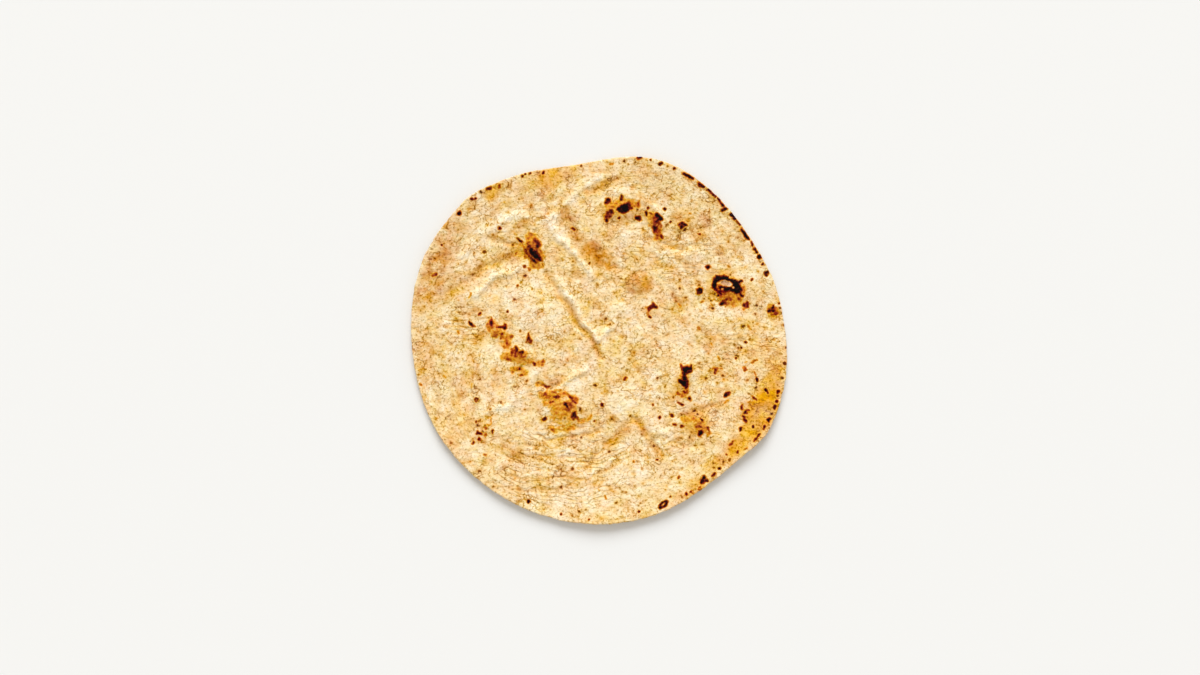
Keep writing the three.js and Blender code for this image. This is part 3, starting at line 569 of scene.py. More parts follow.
    (0.38, (-63, 33, 1.0), (-60, 35, 1.1), (-57, 34, 0.9)),
    (0.44, (-63, 61.5, 0.4), (-60, 60.3, 0.6), (-56, 58, 0.7), (-54, 56.5, 0.6)),
    # the top
    (0.64, (6.5, 105, 0.4), (7.9, 105.2, 0.4)),
    (1.00, (23.3, 108.3, 0.7), (24.5, 108.8, 0.5)),
    (1.00, (36.2, 105, 0.6), (37.3, 105.6, 0.6)),
    (0.52, (-53.8, 92.8, 0.6), (-53.5, 90.8, 0.5)),
    (0.50, (34.3, 98.3, 0.5), (35, 97.5, 0.4)),
    (0.38, (-3, 90, 1.0), (1, 92, 1.1), (5, 95, 1.1), (9, 96.5, 0.8)),
    (0.38, (20, 91.5, 0.6), (26, 91.8, 0.6)),
    (0.48, (-30.5, 79.3, 0.6), (-27, 78.6, 1.0), (-24, 78, 0.5)),
    (0.41, (-34, 87.3, 1.7), (-26, 84.5, 0.7), (-22.5, 83.7, 0.7)),
    (0.22, (-18.9, 77.5, 1.1), (-17.5, 74, 1.5), (-16.3, 71, 1.3), (-15, 67.5, 1.2)),
    (0.85, (-16.2, 66.8, 0.4), (-15.3, 65.8, 0.6)),
    (0.40, (-50, 67.8, 0.8), (-45.5, 69.2, 0.9), (-42, 70.5, 0.8)),
    (0.40, (-39, 74.8, 0.2), (-33.5, 74.4, 0.3)),
    # the rim at the upper right
    (1.05, (50, 99.3, 0.4), (53, 98, 0.6), (55.6, 96.3, 0.7)),
    (1.05, (59.7, 93.7, 0.4), (60.5, 92.4, 0.9), (62.8, 91.4, 0.4)),
    (1.05, (64.7, 89.6, 0.3), (66.3, 88.6, 0.5), (67.5, 87.2, 0.5), (69.5, 85.3, 0.5)),
    (1.05, (71.5, 84, 0.4), (72.8, 82, 0.5), (74.3, 80, 0.6)),
    (0.95, (73.7, 77, 0.6), (75, 77.7, 0.7), (76.6, 78.2, 0.4)),
    (1.05, (79, 74.7, 0.7), (80.3, 73.2, 0.6), (81.4, 72, 0.6)),
    (0.95, (82.7, 70.3, 0.4), (84.2, 68.3, 0.4)),
    (1.05, (85.3, 66.2, 0.4), (87, 63.5, 0.7), (88.3, 61.3, 0.6), (89.8, 60, 0.3)),
    (1.00, (91.3, 58.3, 0.4), (92, 56.6, 0.5)),
    (1.05, (93, 54, 0.7), (94.4, 52.4, 0.7)),
    (1.05, (96.2, 49.5, 0.9)),
    (0.42, (53.3, 52.7, 1.0)),
    (0.40, (52, 44.5, 1.2)),
    (0.44, (39, 55.5, 0.4), (40.5, 56.3, 0.6), (44.5, 55, 0.4), (47, 56, 0.5), (53, 54.5, 0.3)),
    (0.42, (46.5, 50.3, 0.7), (49, 48.5, 0.5)),
    (0.42, (52, 97.8, 0.8), (54, 96, 0.8)),
    (0.42, (67, 86, 0.8), (72, 79.5, 0.9), (78.5, 73, 0.8), (85, 63.7, 1.0)),
    (0.50, (83.8, 12.2, 0.2), (85.3, 11.8, 0.6)),
    (0.46, (97.5, 7.3, 0.2), (101, 6.2, 0.3), (104.5, 5.7, 0.2)),
    (0.38, (70, 1, 1.1), (77, 0.3, 1.1), (84, 0.5, 1.1)),
    (0.38, (44.5, 15, 1.0), (47.5, 13, 0.9), (50, 11.3, 0.9)),
]

# Small specks: x, y, half width, heat.
SPECKS = [
    (-51.8, 56.5, 0.5, 0.72), (-44.8, 43.6, 0.7, 0.98), (-44.3, 37.9, 0.6, 0.74), (-39, 68.6, 0.6, 0.5),
    (10.2, 81, 0.5, 0.78), (11.9, 72.7, 0.7, 0.97), (10.8, 75.5, 0.5, 0.62), (22.8, 78.1, 0.5, 0.82),
    (39.3, 78.1, 0.9, 0.95), (15.8, 73.2, 0.5, 0.5), (26.2, 65.3, 0.6, 0.52), (29.4, 78.6, 0.6, 0.95),
    (16.8, 69.7, 0.9, 0.46), (51.2, 65.9, 0.6, 0.86), (52.5, 68.3, 0.4, 0.56), (40.7, 68.6, 0.9, 0.52),
    (42.8, 70.3, 0.6, 0.98), (48.9, 73.1, 0.5, 0.52), (53.4, 70.8, 0.5, 0.5), (57.8, 68.5, 0.5, 0.5),
    (65.9, 76.4, 0.5, 0.5), (47.8, 61.3, 0.6, 0.46), (58.4, 58.7, 0.6, 0.48), (62.2, 67.8, 0.4, 0.52),
    (69.7, 27.1, 0.5, 0.88), (71.6, 26.2, 0.6, 0.97), (73.2, 25.4, 0.4, 0.75), (78.7, 25.7, 0.4, 0.64),
    (80.8, 24.9, 0.4, 0.56), (77.2, 25.2, 0.4, 0.62), (72.3, 23.8, 0.4, 0.5), (67.3, 23.4, 0.6, 0.7),
    (68.7, 24.1, 0.4, 0.7), (70.6, 22.8, 0.5, 0.5), (68.2, 18.8, 0.5, 0.88), (66.4, 19.1, 0.4, 0.6),
    (62.7, 24.4, 0.5, 0.62), (60.1, 32.6, 0.6, 0.56), (61, 16.9, 0.5, 0.54), (81.7, 21.3, 0.5, 0.6),
    (78.8, 38.6, 0.4, 0.52), (77.7, 43.5, 0.7, 0.62), (87.6, 43.2, 0.5, 0.52), (91.4, 35.8, 0.6, 0.98),
    (38.6, 14.5, 0.8, 0.44), (44, 18.3, 0.6, 0.52), (46.1, 23, 0.5, 0.54), (44.1, 27.1, 0.8, 0.46),
    (52.2, 24.8, 0.6, 0.68), (44.3, -35.1, 0.5, 0.76), (60.6, -35.5, 0.5, 0.48), (57.8, -31.6, 0.4, 0.6),
    (60.2, -14.4, 0.5, 0.64), (57.4, -17.4, 0.4, 0.62), (53.4, -22.5, 0.6, 0.54), (53.7, -27.3, 0.4, 0.56),
    (39.7, -28.5, 0.6, 0.58), (54.8, -19, 0.6, 0.95), (63.2, -31.8, 0.4, 0.52), (57.3, -39.2, 0.4, 0.52),
    (-77.7, 15, 0.5, 0.48), (-55, 16.5, 0.6, 1.0), (-59.2, -1.8, 0.5, 0.52), (-50.3, -8.4, 0.4, 0.78),
    (-51.6, -10.5, 0.4, 0.68), (-50.5, -12.3, 0.4, 0.58), (-48, -17.7, 0.6, 0.92), (-47.3, 4.7, 0.5, 0.8),
    (-71.9, -24, 0.4, 0.6), (-43.5, -25, 0.5, 0.62), (-56.7, -18.3, 0.5, 0.5), (-66.7, 13, 0.4, 0.48),
    (-31.5, -38.5, 0.4, 0.58), (-26.5, -38.8, 0.5, 0.68), (-28.2, -40.2, 0.4, 0.52),
    (-23.8, -45.6, 0.5, 0.64), (-20.9, -47.3, 0.5, 0.68), (-14.7, -51.3, 0.5, 0.6),
    (-24.6, -53.9, 0.5, 0.6), (-11.4, -41.9, 0.6, 0.85),
    (-2.6, -28, 0.6, 0.88), (-2.6, -49.2, 0.6, 0.97), (1.6, -39.3, 0.8, 0.97), (-10.8, -59.1, 0.6, 0.72),
    (-40.8, -33.3, 0.4, 0.56), (-33.7, -36, 0.4, 0.48), (-37, -42.3, 0.5, 0.46), (-24.2, -38.3, 0.3, 0.56),
    (-9.2, -48.9, 0.4, 0.56), (-24.4, -27.6, 0.4, 0.5), (-22.5, -25, 0.5, 0.48), (-24.6, -50.3, 0.4, 0.48),
    (49.3, -45, 0.5, 0.62), (57.4, -42.9, 0.6, 0.88), (59.2, -45, 0.4, 0.76), (57.6, -46.3, 0.5, 0.84),
    (58.6, -49.8, 0.4, 0.52), (55.3, -55.9, 0.5, 0.56), (54.3, -58.7, 0.5, 0.58), (61.6, -63.3, 0.5, 0.52),
    (57.4, -64, 0.4, 0.64), (40.4, -58.8, 0.5, 0.48), (71.1, -19.3, 0.4, 0.68), (73, -16.3, 0.5, 0.6),
    (82.2, -10.2, 0.5, 0.76), (82.2, -11.3, 0.5, 0.98), (83.2, -10.7, 0.4, 0.68), (87.8, -1.8, 0.7, 0.97),
    (90.4, 0.1, 0.5, 0.62), (85.1, -5.2, 0.6, 0.92), (83.5, -5.4, 0.5, 0.62), (81.8, -3.6, 0.7, 0.5),
    (64.2, -23.6, 0.6, 0.64), (74.1, -21.8, 0.5, 0.82), (74.7, -24.1, 0.4, 0.56), (70.8, -26.4, 0.4, 0.5),
    (88.9, -24.6, 0.5, 0.62), (94.3, -28.7, 0.6, 0.78), (83.9, -29.2, 0.4, 0.54), (65.4, -8.4, 0.6, 0.5),
    (101.3, -32.4, 0.5, 0.9), (99, -31.8, 0.8, 0.5), (76.5, -9.3, 0.4, 0.52), (107, -33.9, 0.5, 0.8),
    (-74, -49.4, 0.5, 0.95), (-72.6, -49.6, 0.5, 0.56), (-71.7, -48.3, 0.4, 0.68), (-73, -51.3, 0.5, 0.7),
    (-68.2, -51.8, 0.4, 0.88), (-69.8, -55.4, 0.5, 0.88), (-81, -45.4, 0.5, 0.5), (-65.2, -41.9, 0.5, 0.86),
    (92.2, -52.3, 0.8, 1.05), (82.8, -67.5, 0.8, 1.0), (103.1, -45, 0.5, 0.88), (106.3, -37.3, 0.8, 1.0),
    (90.7, -39.4, 0.5, 0.56), (95.4, -43.6, 0.5, 0.58), (91.6, -46.5, 0.4, 0.52), (86.2, -43.5, 0.3, 0.58),
    (98, 44.8, 0.6, 1.0), (95.3, 40.8, 0.5, 0.62), (104.2, 33.7, 0.5, 0.5), (108, 21.7, 0.6, 0.95),
    (108.2, 18.7, 0.5, 0.88), (109.5, 15.7, 0.4, 0.6), (111, 8.7, 0.5, 0.84), (102.2, 13.9, 0.5, 0.56),
    (94.7, 20.7, 0.6, 0.62), (98.8, 18, 0.4, 0.46), (95.2, 9.3, 0.7, 0.48), (92.3, 10.2, 0.5, 0.62),
    (34.6, -72.4, 0.6, 1.0), (38.2, -69.5, 0.5, 0.54), (48, -85.9, 0.5, 0.52), (49.7, -94.6, 0.4, 0.62),
    (42.7, -94.5, 0.5, 0.95), (72, -77.5, 0.7, 0.95), (68.7, -77.2, 0.5, 0.76), (68.7, -74.3, 0.4, 0.7),
    (74.2, -73.3, 0.4, 0.8), (76, -69.1, 0.6, 0.95), (78, -72.1, 0.6, 0.78), (38.9, -80, 0.4, 0.52),
    (-1.6, 50, 0.5, 0.52), (-15.5, 47, 0.8, 0.42), (-5.8, 45.5, 0.6, 1.0), (-1.2, 33, 0.9, 0.56),
    (22.8, 48, 0.7, 0.46), (25, 53, 0.8, 0.48), (4.2, 11.9, 0.7, 0.64), (6.4, 9.1, 0.4, 0.85),
    (-20.8, 5.2, 0.6, 0.54), (-11.8, 0.4, 0.6, 0.52), (-17, -1.6, 0.5, 0.48), (-19.2, -12.6, 0.6, 0.58),
    (-20.3, -14.8, 0.5, 0.56), (5.7, -19.5, 0.4, 0.54), (18, -12, 0.5, 0.64), (21, -8.3, 0.7, 0.52),
    (0.4, -3.2, 0.7, 0.48), (8.8, -1, 0.5, 0.5), (13.6, 2, 0.4, 0.5), (14.2, 23.6, 0.5, 0.5),
    (-33.4, 24, 0.5, 0.5), (7.3, -47.6, 0.6, 0.7), (5.3, -50.5, 0.4, 0.54), (18.4, -45.9, 0.6, 0.7),
    (25.7, -57, 0.4, 0.52), (36.3, -46.8, 0.8, 1.0), (32.3, -39.3, 0.5, 0.92), (35, -23.4, 0.6, 0.76),
    (36, -29.5, 0.4, 0.52), (36.1, -36, 0.4, 0.52), (3.2, -31.3, 0.5, 0.48), (31, -61.7, 0.4, 0.52),
    (-42.4, -97.4, 1.0, 0.95), (-22.9, -104.9, 0.6, 0.94), (-33.3, -102.4, 0.5, 0.62),
    (-12, -103, 0.6, 0.64), (-16.2, -105.9, 0.6, 0.56), (-5.9, -107.8, 0.5, 0.92),
    (-8, -102.2, 0.5, 0.66), (-22.8, -88.6, 0.5, 0.75),
    (-16, -78.2, 0.7, 0.76), (10.3, -97.9, 0.6, 0.66), (15.8, -91.8, 0.5, 0.64), (6.2, -67.5, 0.7, 0.76),
    (25.5, -77.4, 0.7, 0.66), (26.3, -86.5, 0.7, 0.52), (23.6, -94.3, 0.5, 0.58), (24.9, -98.5, 0.5, 0.62),
    (23.8, -103.3, 0.7, 1.0), (32.8, -64, 0.6, 0.62), (4.3, -78.3, 0.5, 0.52), (1.3, -107.6, 0.5, 0.5),
    (-26, -81, 0.4, 0.56), (-33, -66.8, 0.4, 0.54), (-47, -66.8, 0.4, 0.52), (-48.5, -90, 0.6, 0.48),
    (-105, 19.6, 0.5, 0.6), (-85.8, 12.2, 0.4, 0.54), (-103.5, -3, 0.3, 0.52), (-86.3, -21.6, 0.4, 0.52),
    (-108.3, -21.5, 0.5, 0.6), (-107.8, -18.8, 0.4, 0.52), (-97.7, -47.5, 0.5, 0.6), (-89, -62.3, 0.5, 0.6),
    (-77.3, -73.3, 0.5, 0.6), (-71.8, -78.8, 0.5, 0.6), (-63.4, -88.2, 0.5, 0.6), (-51, -28.5, 0.5, 0.6),
    (-71, 88.2, 0.5, 0.84), (-76.4, 83.8, 0.8, 1.0), (-74.1, 84.2, 0.7, 1.0), (-91.4, 66.6, 0.5, 0.62),
    (-94.6, 56.3, 0.6, 0.96), (-98.6, 48.4, 0.5, 0.64), (-101.5, 48.3, 0.5, 0.58),
    (-101.5, 45.3, 0.5, 0.52),
    (-92.5, 50.5, 0.4, 0.5), (-66.8, 68, 0.5, 0.64), (-63.7, 62.6, 0.5, 0.64), (-69, 52.5, 0.9, 0.85),
    (-80, 46.3, 0.6, 0.46), (-76.2, 38.9, 0.5, 0.52), (-55.5, 31.7, 0.5, 0.52), (-54.5, 76, 0.7, 0.58),
    (-49, 32.2, 0.7, 0.98), (-40.3, 30, 0.4, 0.8), (-51, 23.7, 0.6, 0.75), (-34.5, 17.5, 0.5, 0.44),
    (-46.1, 97.7, 0.7, 1.0), (-44.3, 99, 0.6, 0.97), (-41.4, 99.5, 0.6, 0.97), (-33.6, 100, 0.8, 1.0),
    (-10.6, 104, 0.6, 0.88), (-36.7, 99.8, 0.3, 0.52), (-5.5, 103.8, 0.3, 0.52), (15.1, 107, 0.6, 0.82),
    (31, 107.3, 0.6, 0.97), (41.2, 103.9, 0.4, 0.62), (45, 102.3, 0.7, 0.95), (-40.7, 80.6, 0.5, 0.58),
    (10.6, 96.8, 0.4, 0.52), (74, 64.9, 0.4, 0.58), (78.5, 61.9, 0.4, 0.62), (82.8, 61, 0.6, 0.52),
    (77.3, 58.2, 0.4, 0.58), (86.7, 58.9, 0.4, 0.58), (85.5, 49, 0.4, 0.54), (72.8, 46.5, 0.4, 0.52),
    (62.2, 9.2, 0.5, 0.52), (77, 11.3, 0.4, 0.48), (86.6, 7.5, 0.6, 0.85), (95, 9.4, 0.6, 0.52),
    (93.5, 15.2, 0.6, 0.72), (91.7, 3.5, 0.4, 0.52), (48.5, 36, 0.6, 0.62), (48.4, 30.4, 0.4, 0.75),
    (52, 46.8, 0.4, 0.5), (56.3, 11.6, 0.4, 0.5), (-31, 75.3, 0.5, 0.54), (-45.2, 70.8, 0.5, 0.56),
    (112, -5, 0.5, 0.8), (111.3, -14.3, 0.7, 0.85), (109.6, -23, 0.7, 0.85), (-44.8, -42.5, 0.5, 0.6),
    (-59, -38.2, 0.6, 0.72), (-57.8, -39.2, 0.5, 0.6),
]

# Scorch rings, where a small bubble burst: x, y, width, length, turn, line width, heat.
RINGS = [
    (60.3, -89.2, 1.7, 1.7, 0, 0.5, 0.62),
    (55.9, -91.6, 1.5, 1.5, 0, 0.4, 0.60),
    (38.4, -99, 4.6, 2.4, 38, 0.9, 1.0),
    (100.2, 39.3, 1.5, 2.0, -30, 1.0, 0.88),
    (-73.8, -36.4, 1.8, 1.9, 0, 0.8, 0.78),
]

# Spots inside a mark that are lighter: the first stayed lighter, the second is a painted highlight where a
# glint lies on the scorched skin. Each is x, y, half width, the most heat there.
PALE_SPOT_AND_GLINT = [
    (-39.8, 56.8, 1.0, 0.40),
    (6.3, 75.2, 0.6, 0.50),
]

# Single wrinkles, thin grooves between two low ridges.
WRINKLES = [
    [(-37, -57), (-33, -59.3), (-29, -60.2), (-24, -60.2), (-19, -59.8), (-13, -57.8)],
    [(-34, -62), (-30.5, -64.5), (-26.5, -64.8), (-24, -64)],
    [(-24, -66.3), (-21, -66), (-17.5, -65), (-14, -64.5)],
    [(-34.5, -67.3), (-31.5, -68), (-29.5, -68.8), (-27, -68.5)],
    [(-26, -70.5), (-23, -71.3), (-20, -70.5), (-17.5, -71), (-14.5, -70.5)],
    [(-23.5, -72.5), (-20, -73), (-17.5, -73.5), (-14, -72.5), (-11, -71.5)],
    [(-35, -73.5), (-32, -74.3), (-29, -75), (-26, -74), (-22, -74)],
    [(-35, -75.5), (-32, -78), (-29, -79), (-26.5, -79.5), (-24, -81.5), (-20, -82)],
    [(-15.5, -75.5), (-12.5, -73), (-9.5, -74), (-6, -74.5), (-3, -73.5)],
    [(-13, -77.5), (-10, -78), (-7, -79), (-4.5, -79.3)],
    [(-14, -83), (-10, -84), (-5, -83.5)],
    [(-50, -76), (-46.5, -78), (-44.5, -80), (-41, -80.5)],
    [(-47, -74), (-43, -75.8), (-39, -75), (-36, -76.5)],
    [(-42, -80), (-37, -82), (-32, -83), (-27, -82.5)],
    [(-45, -90.5), (-38, -91.5), (-31, -91.3), (-26, -89.5), (-22, -88.5)],
    [(-20, -88), (-17, -87), (-14.5, -85.5), (-12, -84)],
    [(-26, -84.5), (-23.5, -85.5), (-22, -88)],
    [(-93, 16.3), (-89, 16), (-85, 16.4), (-80, 16)],
    [(-92, 11.8), (-88, 11.2), (-84, 11.5), (-80, 11)],
    [(-93, 8), (-88, 7.3), (-84, 7.6), (-80, 7)],
    [(-4, 5.5), (-1, 8.3), (3, 8.7), (6, 7)],
    [(41, 51.5), (46, 52), (51, 52.6)],
    [(-40, 70), (-36, 72.5), (-32, 73.5)],
    [(54, 56), (60, 57), (66, 55.5)],
]

# Golden bands and patches of even colour: x, y, width, length, turn, strength.
AMBER = [
    (101, -34, 19, 52, -14, 1.0),
    (98, -43, 18, 30, -30, 1.6),
    (91, -54, 14, 18, -35, 1.2),
    (84, -63, 30, 14, 42, 0.9),
    (70, -76, 28, 11, 38, 0.6),
    (55, -89, 26, 8, 35, 0.5),
    (-30, 97, 40, 13, 12, 0.7),
    (-65, 87, 14, 10, 40, 0.7),
    (-14, 41, 7, 6, 0, 0.5),
    (-8, 66.5, 7, 4, 0, 0.4),
    (27, 45, 5, 4, 0, 0.4),
    (58, -49, 20, 18, -20, 0.7),
    (79, 23, 18, 9, -10, 0.6),
    (-85, -50, 20, 34, -30, 0.3),
    (-85, -63, 12, 8, -45, 0.35),
    (-66, -72, 12, 10, -40, 0.35),
    (-48.5, -68.5, 9, 4, -15, 0.4),
    (-72, -25, 34, 22, 0, 0.2),
    (92, -8, 24, 18, 0, 0.3),
    (20, 77, 30, 10, 0, 0.3),
]

# Smooth tan patches, where the dough lay flat on the griddle: the same columns.
TAN = [
    (-20, 76, 7, 12, 15, 0.7),
    (-16, 65, 6, 12, 25, 0.6),
    (-1, 50, 26, 15, -40, 1.0),
    (24, 34, 18, 15, 0, 1.0),
    (64, 72, 10, 11, 0, 0.5),
    (66, -3, 11, 9, 0, 0.5),
    (-99, 38, 16, 52, -24, 0.75),
    (-104, -8, 12, 46, 6, 0.3),
    (-88, 62, 14, 26, -38, 0.5),
    (-40, 88, 30, 10, 12, 0.25),
    (20, 98, 44, 10, 0, 0.15),
    (86, 84, 10, 10, 0, 0.2),
]

# Pale floury patches: the same columns.
FLOURY = [
    (15, -36, 28, 26, 0, 0.6),
    (-38, 20, 56, 40, -20, 0.5),
    (9, 17, 22, 12, 20, 0.6),
    (25, 6, 18, 10, 10, 0.5),
    (-16, -25, 14, 12, 25, 0.7),
    (20, -79, 40, 26, -25, 0.55),
    (-64, 68, 40, 10, 32, 0.45),
    (-30, 72, 16, 8, -20, 0.5),
    (-20, 60, 28, 6, -52, 0.5),
    (20, 62, 26, 12, -5, 0.45),
    (73, 16, 40, 16, -5, 0.5),
    (88, 44, 20, 20, 0, 0.4),
    (50, -5, 30, 14, 0, 0.35),
    (36, -28, 12, 30, 0, 0.35),
    (64, -28, 12, 26, 0, 0.3),
    (-66, -11, 22, 14, -25, 0.5),
    (-52, -39, 18, 10, 15, 0.5),
    (-30, -9, 22, 8, 0, 0.5),
    (-20, -98, 60, 16, 0, 0.35),
    (40, -58, 12, 10, 0, 0.45),
    (-62, 40, 26, 8, 28, 0.4),
    (3, 5, 12, 8, 30, 0.5),
    (-2, 95, 18, 6, 25, 0.5),
]

# ------------------------------------------------------------------ small shape functions


def edge_radius(angle):
    """Radius of the bread's edge, mm, in directions given in degrees."""
    radius = np.full_like(angle, shape_radius())
    for at, reach, spread in EDGE_BULGES:
        radius += reach * bell(turn_between(angle, at), spread)
    return radius


def turn_between(angle, at):
    """How far a direction lies from another, from -180 to 180 degrees."""
    return (angle - at + 180) % 360 - 180


def lift(angle, radius):
    """Height of the dough's underside, mm: flat inside, rising to the rim's waves."""
    shape = bpy.context.scene.chapati_shape
    flat = shape.flat_radius / MM
    height = np.full_like(angle, shape.rim_lift / MM)
    for at, rise, spread in RIM_WAVES:
        height += rise * bell(turn_between(angle, at), spread)
    for count, rise, start in RIM_RUFFLES:
        height += rise * np.cos(np.radians(count * (angle - start)))
    outwards = np.maximum(0, radius - flat) / (edge_radius(angle) - flat)
    return np.maximum(0, height) * outwards * outwards


def oval_distance(x, y, oval):
    """Nought at the middle of an oval, one at its edge."""
    middle_x, middle_y, width, length, turn = oval[:5]
    c, s = math.cos(math.radians(turn)), math.sin(math.radians(turn))
    along = (x - middle_x) * c + (y - middle_y) * s
    across = (y - middle_y) * c - (x - middle_x) * s
    return np.hypot(along / (width / 2), across / (length / 2))


def dome(x, y, oval):
    """A smooth dome on an oval whose last number is its height."""
    away = np.minimum(oval_distance(x, y, oval), 1)
    return oval[5] * (1 - away * away) ** 2


def from_piece(x, y, start, end):
    """Distance to a straight piece, and how far along it its nearest place is, 0 to 1."""
    step_x, step_y = end[0] - start[0], end[1] - start[1]
    from_x, from_y = x - start[0], y - start[1]
    share = (from_x * step_x + from_y * step_y) / (step_x**2 + step_y**2)
    share = np.clip(share, 0, 1)
    return np.hypot(from_x - share * step_x, from_y - share * step_y), share


def path_distance(x, y, path):
    """Distance to the nearest part of a path of straight pieces."""
    shortest = np.full_like(x, np.inf)
    for start, end in zip(path, path[1:]):
        away, _ = from_piece(x, y, start, end)
        shortest = np.minimum(shortest, away)
    return shortest


def smoothstep(value, low, high):
    share = np.clip((value - low) / (high - low), 0, 1)
    return share * share * (3 - 2 * share)


def bell(away, width):
    """One where `away` is nought, falling off smoothly over its width on both sides."""
    return np.exp(-((away / width) ** 2))


# The noise: cells until it repeats, what it is multiplied by, and how far a seed moves it.
NOISE_CELLS = 512
NOISE_GAIN = 1.5
NOISE_START = (0.37, 0.61)


def noise(x, y, size, seed):
    """Seeded gradient noise from about -1 to 1, with lumps `size` mm across."""
    cells = NOISE_CELLS
    turns = np.random.default_rng(seed).uniform(0, 2 * math.pi, (cells, cells))
    c, s = math.cos(seed), math.sin(seed)
    u = (x * c - y * s) / size + NOISE_START[0] * seed
    v = (x * s + y * c) / size + NOISE_START[1] * seed
    i, j = np.floor(u).astype(int), np.floor(v).astype(int)
    u, v = u - i, v - j

    def corner(step_i, step_j):
        turn = turns[(i + step_i) % cells, (j + step_j) % cells]
        return np.cos(turn) * (u - step_i) + np.sin(turn) * (v - step_j)

    ease_u, ease_v = smoothstep(u, 0, 1), smoothstep(v, 0, 1)
    low = corner(0, 0) * (1 - ease_u) + corner(1, 0) * ease_u
    high = corner(0, 1) * (1 - ease_u) + corner(1, 1) * ease_u
    return NOISE_GAIN * (low * (1 - ease_v) + high * ease_v)


def layered(x, y, layers, seed):
    """Several noises in one, each given by its strength and the size of its lumps."""
    total = np.zeros_like(x)
    for index, (strength, size) in enumerate(layers):
        total += strength * noise(x, y, size, seed + index)
    return total


def shift(x, y, layers, seed):
    """How far layers of noise move each point, mm, in x and in y."""
    return np.array([layered(x, y, layers, seed), layered(x, y, layers, seed + len(layers))])


# ------------------------------------------------------------------ relief

# Noises, each a list of how strong they are and how large their lumps are, mm.
FOLD_WANDER = [(2.0, 13), (0.9, 5)]
FOLD_UNEVEN = [(0.45, 12)]
PUCKER_WANDER = [(2.6, 13), (1.0, 5)]
WRINKLE_WANDER = [(1.2, 6.5)]
WRINKLE_UNEVEN = [(0.6, 7)]
RAGGED = [(0.35, 4.2), (0.4, 1.8)]
LUMPS = [(0.22, 11), (0.15, 5.5), (0.12, 2.9), (0.09, 1.7)]
NICKS = [(0.25, 5), (0.2, 2.2)]

# Puckers: their size across, mm, how much that is drawn out along them, and the weight of
# the area that covers the whole bread.
PUCKER_SIZE = 2.6
PUCKER_STRETCH = 6.0
ALL_OVER_SHARE = 0.06

# The puffed skin between puckers: its height, what is taken off that, mm, and how steep.
PUFF_HEIGHT = 0.28
PUFF_MIDDLE = 0.13
PUFF_STEEPNESS = 2.2

# Single wrinkles, mm: the groove's half width and depth, and the ridges beside it.
GROOVE_HALF = 0.8
GROOVE_DEPTH = 0.16
RIDGE_AWAY = 1.3
RIDGE_WIDTH = 0.6
RIDGE_HEIGHT = 0.12

PORE_SIZE = 2.2
PORE_DEPTH = 0.18


def main_relief(x, y):
    """The forms that the solid bread has too: blisters, swells, pleats and creases."""
    relief = np.zeros_like(x)
    for oval in BLISTERS + SWELLS:
        relief += dome(x, y, oval)
    along_x, along_y = wandering(x, y)
    fold_share = bpy.context.scene.chapati_shape.fold_share
    uneven = (1 + layered(x, y, FOLD_UNEVEN, 17)) * fold_share
    for way, lines in ((1, PLEATS), (-1, CREASES)):
        for size, width, path in lines:
            away = path_distance(along_x, along_y, path)
            relief += way * size * uneven * bell(away, width / 2)
    return relief - dome(x, y, TEAR)


def wandering(x, y):
    """Points shifted by up to 3 mm, so that pleats and creases drawn on them wander."""
    return np.array([x, y]) + shift(x, y, FOLD_WANDER, 13)


def ragged(x, y):
    """Points shifted a little, so that marks drawn on them get ragged edges."""
    return np.array([x, y]) + shift(x, y, RAGGED, 31)


def puckers(x, y):
    """Skin puckered in lines: a wave whose nought lines are the folds, and its depth."""
    wave, depth, total = np.zeros_like(x), np.zeros_like(x), np.zeros_like(x)
    for index, area in enumerate(WRINKLED):
        strength, centre_x, centre_y = area[5:]
        seed = 100 + 10 * index
        out = np.hypot(x - centre_x, y - centre_y)
        round_it = np.arctan2(x - centre_x, y - centre_y) * np.median(out)
        out = out + layered(x, y, PUCKER_WANDER, seed)
        covers_all = area[2] > 2 * shape_radius()
        inside = 1 - smoothstep(oval_distance(x, y, area), 0.6, 1.2)
        share = np.full_like(x, ALL_OVER_SHARE) if covers_all else inside
        wave += share * noise(round_it / PUCKER_STRETCH, out, PUCKER_SIZE, seed + 2)
        depth += share * strength
        total += share
    uneven = smoothstep(noise(x, y, 9, 131), -0.7, 0.1)
    return wave / total, depth / total * uneven


def shape_radius():
    return bpy.context.scene.chapati_shape.mean_radius / MM


def single_folds(x, y):
    """The single wrinkles: their height in mm, and how deep each point is in one."""
    away = np.full_like(x, np.inf)
    for path in WRINKLES:
        away = np.minimum(away, path_distance(x, y, path))
    groove = np.clip(1 - away / GROOVE_HALF, 0, 1)
    ridge = bell(away - RIDGE_AWAY, RIDGE_WIDTH)
    return RIDGE_HEIGHT * ridge - GROOVE_DEPTH * groove, groove - 0.6 * ridge


def fine_relief(x, y, wave, depth):
    """Lumps, puckers and pores smaller than the main forms, mm, and the wrinkles' depth."""
    lumps = layered(x, y, LUMPS, 21)
    pores = PORE_DEPTH * smoothstep(noise(x, y, PORE_SIZE, 25), 0.35, 0.75)
    puffs = depth * (PUFF_HEIGHT * np.tanh(PUFF_STEEPNESS * np.abs(wave)) - PUFF_MIDDLE)
    near_x, near_y = ragged(x, y) + shift(x, y, WRINKLE_WANDER, 26)
    height, folds = single_folds(near_x, near_y)
    folds *= 0.55 + layered(x, y, WRINKLE_UNEVEN, 28)
    return lumps - pores + puffs + height, folds


# ------------------------------------------------------------------ heat and tints

